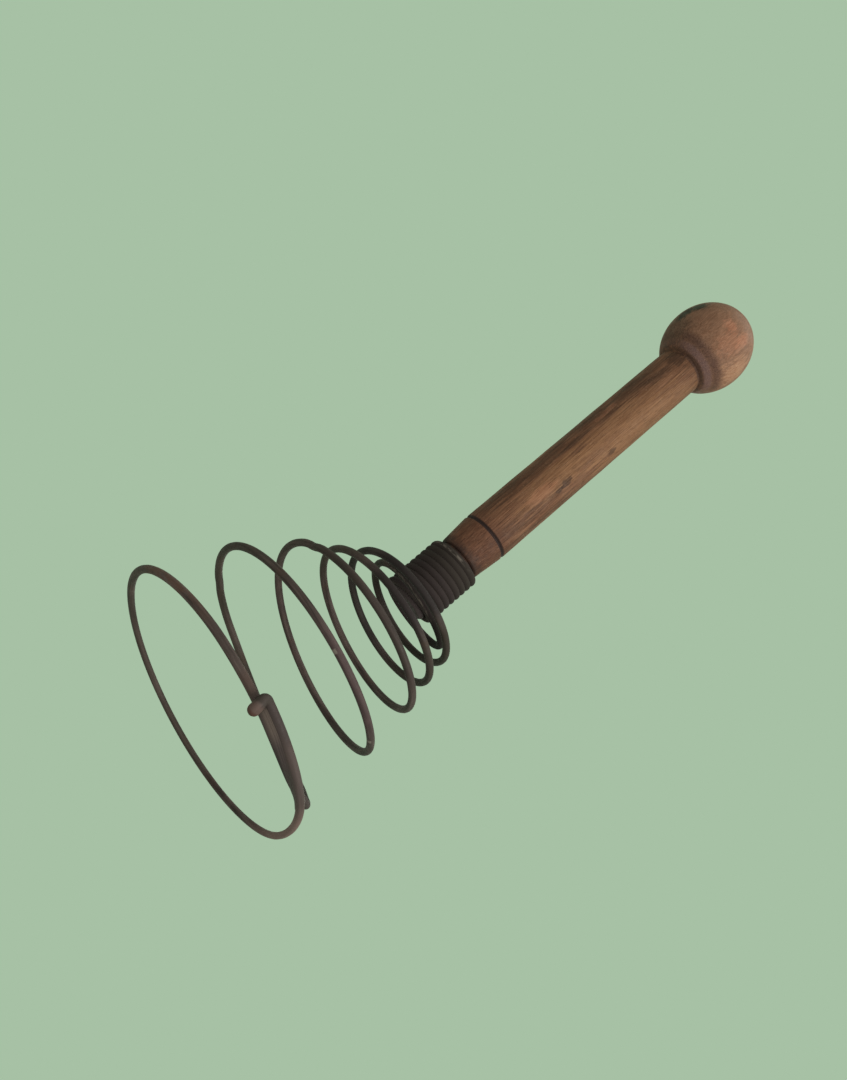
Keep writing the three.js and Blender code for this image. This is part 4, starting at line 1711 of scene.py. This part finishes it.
        fibres = sheet.grain(own, look.fibres)
        tones = (look.dark, look.middle, look.light)
        colour = sheet.tones(fibres, tuple(zip(look.tone_places, tones)))
        colour = sheet.paint(
            colour, look.dark, self._growth_rings(sheet, own), look.ring_strength
        )
        colour = sheet.paint(colour, look.grime, effects.spread(sheet, own, look.dirt))
        for paint, middle, reach in (
            (look.ball, self.ball_at, self.ball_colour),
            (look.neck, self.groove_at, self.neck_colour),
        ):
            mask = sheet.between(length, *(middle + edge for edge in reach))
            colour = sheet.paint(colour, paint, mask, look.end_strength)
        for mark in look.marks:
            shape = sheet.group(effects.mark, self._shape(mark, own))
            colour = sheet.paint(colour, look.colour_of(mark.kind), shape, mark.strength)
        colour = self._paint_foot_bands_and_light(sheet, colour, own, length)
        streaks = sheet.grain_mask(own, look.streaks)
        colour = sheet.paint(colour, look.pore, streaks, look.grain_strength, "SOFT_LIGHT")
        pitted = sheet.grain_mask(own, look.pores)
        colour = sheet.paint(colour, look.pore, pitted, look.grain_strength)
        for scratches in look.scratches:
            mask = sheet.grain_mask(own, scratches)
            colour = sheet.paint(colour, look.scratch, mask, look.scratch_strength)
        nicked = sheet.grain_mask(own, look.nicks)
        colour = sheet.paint(colour, look.nick, nicked, look.grain_strength)
        colour = self._paint_shade_and_tenon_end(sheet, colour, own, length)

        rubbed = sheet.grain(own, look.rubbing)
        polished, dull = look.sheen.roughness
        roughness = sheet.between(rubbed, look.rubbing.start, look.rubbing.full, dull, polished)
        turned = sheet.grain(own, look.turning)
        relief = sheet.math("ADD", fibres, sheet.product(turned, look.turning_relief))
        relief = sheet.math("SUBTRACT", relief, sheet.product(pitted, look.pore_relief))
        sheet.lay_on(handle, colour, roughness, relief, look.sheen)

    def _shape(self, mark: Mark, own: bpy.types.NodeSocket) -> dict[int | str, Feed]:
        """Gives a mark's place, size and ragged edge to the mark group's inputs.

        Args:
            mark: The mark.
            own: Place in the handle's own frame, in millimetres.

        Returns:
            What each input gets.
        """
        look = self.finish
        small = mark.along < look.small_mark
        return {
            "Vector": own,
            "Centre": mark.centre(),
            "Reach": (mark.across, mark.across, mark.along),
            "Ragged": look.ragged,
            "Grain": look.small_mark_grain if small else look.long_mark_grain,
        }

    def _paint_foot_bands_and_light(
        self,
        sheet: NodeSheet,
        colour: bpy.types.NodeSocket,
        own: bpy.types.NodeSocket,
        length: bpy.types.NodeSocket,
    ) -> bpy.types.NodeSocket:
        """Paints a highlight, a purple-brown band and shade in the cove round the ball's foot, full
        on the lit side.

        Args:
            sheet: The material's sheet.
            colour: The colour so far.
            own: Place in the handle's own frame, in millimetres.
            length: Length along the handle, in millimetres.

        Returns:
            The coloured wood.
        """
        look = self.finish
        parts = sheet.node("ShaderNodeSeparateXYZ", {"Vector": own}).outputs
        # The lit side, where the painted light and shade at the foot are full.
        side = sheet.math("ADD", parts["X"], sheet.product(parts["Y"], look.foot_lit_side))
        side = sheet.between(side, *look.foot_lit_range, bottom=look.foot_shaded_side)
        from_foot = sheet.math("SUBTRACT", length, self._shaft_end())
        for ring in look.foot_bands_and_light:
            colour = sheet.paint_zone(colour, from_foot, ring, side)
        return colour

    def _growth_rings(self, sheet: NodeSheet, own: bpy.types.NodeSocket) -> bpy.types.NodeSocket:
        """Makes the growth rings of the plank that the handle was turned from.

        Args:
            sheet: The material's sheet.
            own: Place in the handle's own frame, in millimetres.

        Returns:
            A mask that is 1 in the late wood.
        """
        look = self.finish
        flat = sheet.stretched(own, (1.0, 1.0, look.ring_slope))
        offset = sheet.vector_math("SUBTRACT", flat, (*look.pith, 0.0))
        sway = sheet.product(sheet.grain(own, look.ring_sway), look.ring_sway_by)
        ring = sheet.math("ADD", sheet.reach(offset), sway)
        wave = sheet.math("SINE", sheet.product(ring, math.tau / look.ring_pitch))
        return sheet.between(wave, 0.0, 1.0)

    def _paint_shade_and_tenon_end(
        self,
        sheet: NodeSheet,
        colour: bpy.types.NodeSocket,
        own: bpy.types.NodeSocket,
        length: bpy.types.NodeSocket,
    ) -> bpy.types.NodeSocket:
        """Paints shade into the groove and on the wood next to the wire, and darkens the tenon's
        end.

        Args:
            sheet: The material's sheet.
            colour: The colour so far.
            own: Place in the handle's own frame, in millimetres.
            length: Length along the handle, in millimetres.

        Returns:
            The darkened colour.
        """
        look = self.finish
        off = sheet.math("ABSOLUTE", sheet.math("SUBTRACT", length, self.groove_at))
        in_groove = sheet.between(off, *(self.groove_width / 2 * e for e in self.groove_shade_edges))
        # Painted shade in the V-groove.
        colour = sheet.paint(colour, look.groove_shade, in_groove)
        # Painted shade on the neck next to the winding, with a ragged edge.
        shade_edge_shift = sheet.product(sheet.grain(own, look.shade_edge), look.shade_edge_by)
        shade_by_winding = sheet.between(sheet.math("ADD", length, shade_edge_shift), *look.shade_by_winding)
        colour = sheet.paint(colour, look.cut, shade_by_winding, look.shade_by_winding_strength)
        return sheet.paint(colour, look.tenon_end, sheet.between(length, *self.tenon_colour))

    def fit(self, handle: bpy.types.Object) -> None:
        """Hands the handle to the frame.

        Args:
            handle: The handle.
        """
        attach(handle, Body.HANDLE.value)
        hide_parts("handle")


@dataclass
class SoftLamp:
    """A square soft lamp that faces a point."""

    name: str
    place: tuple[float, float, float]
    size: float
    power: float
    target: tuple[float, float, float] = (0.0, 0.0, 0.11)

    def build(self) -> None:
        """Hangs the lamp."""
        data = bpy.data.lights.new(self.name, "AREA")
        data.shape = "SQUARE"
        data.size = self.size
        data.energy = self.power
        lamp = bpy.data.objects.new(self.name, data)
        bpy.context.scene.collection.objects.link(lamp)
        lamp.location = self.place
        facing = Vector(self.target) - Vector(self.place)
        lamp.rotation_euler = facing.to_track_quat("-Z", "Y").to_euler()


@dataclass
class Studio:
    """The pale floor and backdrop, the soft light and the camera."""

    finish: StudioFinish = field(default_factory=StudioFinish)
    camera_place: tuple[float, float, float] = (0.200637, 0.183476, -0.07096)
    camera_turn: tuple[float, float, float] = (144.4534, -50.5174, 86.6607)
    lens: float = 30.0
    floor_r: float = 1.35
    floor_solid_r: float = 0.45
    floor_fade: float = 0.95
    floor_sides: int = 96
    floor_drop: float = 0.0001
    floor_roughness: float = 0.9
    floor_specular: float = 0.1
    near_clip: float = 0.01
    lamps: tuple[SoftLamp, ...] = (
        SoftLamp("key", (0.16, 1.5, 0.46), 0.8, 16.3),
        SoftLamp("front", (0.62, 0.42, -0.28), 0.6, 1.5),
        SoftLamp("top", (0.2, 0.3, 1.2), 0.9, 4.5),
        SoftLamp("back", (-0.8, -0.5, 0.6), 0.6, 1.0),
    )

    def build(self) -> None:
        """Sets up the floor, the world, the lamps and the camera."""
        self._floor()
        self._world()
        for lamp in self.lamps:
            lamp.build()
        self._camera()

    def _floor(self) -> None:
        """Lays a pale floor that fades out at its rim and doesn't hide what is above it.

        The photograph looks up through the ring, so the floor shows only to a camera above it,
        with the object's shadow on it, and light passes through it.
        """
        deselect_all()
        bpy.ops.mesh.primitive_circle_add(
            vertices=self.floor_sides,
            radius=self.floor_r,
            fill_type="NGON",
            location=(0.0, 0.0, -self.floor_drop),
        )
        floor = bpy.context.active_object
        floor.name = "floor"
        settle(floor)
        sheet = Surface("pale_floor")
        sheet.feed(sheet.shader.inputs["Base Color"], self.finish.backdrop)
        sheet.feed(sheet.shader.inputs["Roughness"], self.floor_roughness)
        sheet.feed(sheet.shader.inputs["Specular IOR Level"], self.floor_specular)
        rim = sheet.between(
            sheet.reach(sheet.object_place()), self.floor_solid_r, self.floor_r * self.floor_fade
        )
        below = sheet.node("ShaderNodeNewGeometry").outputs["Backfacing"]
        seen = sheet.node("ShaderNodeLightPath").outputs["Is Camera Ray"]
        unseen = sheet.math("SUBTRACT", 1.0, seen)
        clear = sheet.math("MAXIMUM", sheet.math("MAXIMUM", rim, below), unseen)
        see_through = sheet.node("ShaderNodeBsdfTransparent")
        mixed = sheet.node(
            "ShaderNodeMixShader",
            {0: clear, 1: sheet.shader.outputs["BSDF"], 2: see_through.outputs["BSDF"]},
        )
        sheet.feed(sheet.output.inputs["Surface"], mixed.outputs["Shader"])
        floor.data.materials.append(sheet.material)

    def _world(self) -> None:
        """Shows the backdrop to the camera and in reflections, and lights evenly otherwise."""
        world = bpy.data.worlds.new("studio")
        bpy.context.scene.world = world
        world.use_nodes = True
        world.node_tree.nodes.clear()
        sheet = NodeSheet(world.node_tree)
        seen = sheet.node("ShaderNodeBackground", {"Color": self.finish.backdrop})
        felt = sheet.node(
            "ShaderNodeBackground",
            {"Color": self.finish.ambient, "Strength": self.finish.ambient_strength},
        )
        path = sheet.node("ShaderNodeLightPath").outputs
        shown = sheet.math("MAXIMUM", path["Is Glossy Ray"], path["Is Transmission Ray"])
        mixed = sheet.node(
            "ShaderNodeMixShader",
            {
                0: sheet.math("MAXIMUM", path["Is Camera Ray"], shown),
                1: felt.outputs["Background"],
                2: seen.outputs["Background"],
            },
        )
        sheet.node("ShaderNodeOutputWorld", {"Surface": mixed.outputs["Shader"]})

    def _camera(self) -> None:
        """Sets the camera at the photograph's viewing angle."""
        data = bpy.data.cameras.new("camera")
        data.lens = self.lens
        data.clip_start = self.near_clip
        camera = bpy.data.objects.new("camera", data)
        bpy.context.scene.collection.objects.link(camera)
        camera.location = self.camera_place
        camera.rotation_euler = Euler([math.radians(a) for a in self.camera_turn])
        bpy.context.scene.camera = camera


def main() -> None:
    """Builds the wire, the handle and the studio, and reports each piece."""
    logging.basicConfig(level=logging.INFO, format="%(name)s: %(message)s")
    bpy.context.scene.view_settings.view_transform = "Standard"
    effects = EffectGroups()
    route = WireRoute()
    for part in (WhiskWire(route), BallHandle(route)):
        piece = part.build()
        part.dress(piece, effects)
        part.fit(piece)
        log.info("%s: %d faces", piece.name, len(piece.data.polygons))
    Studio().build()


if __name__ == "__main__":
    main()
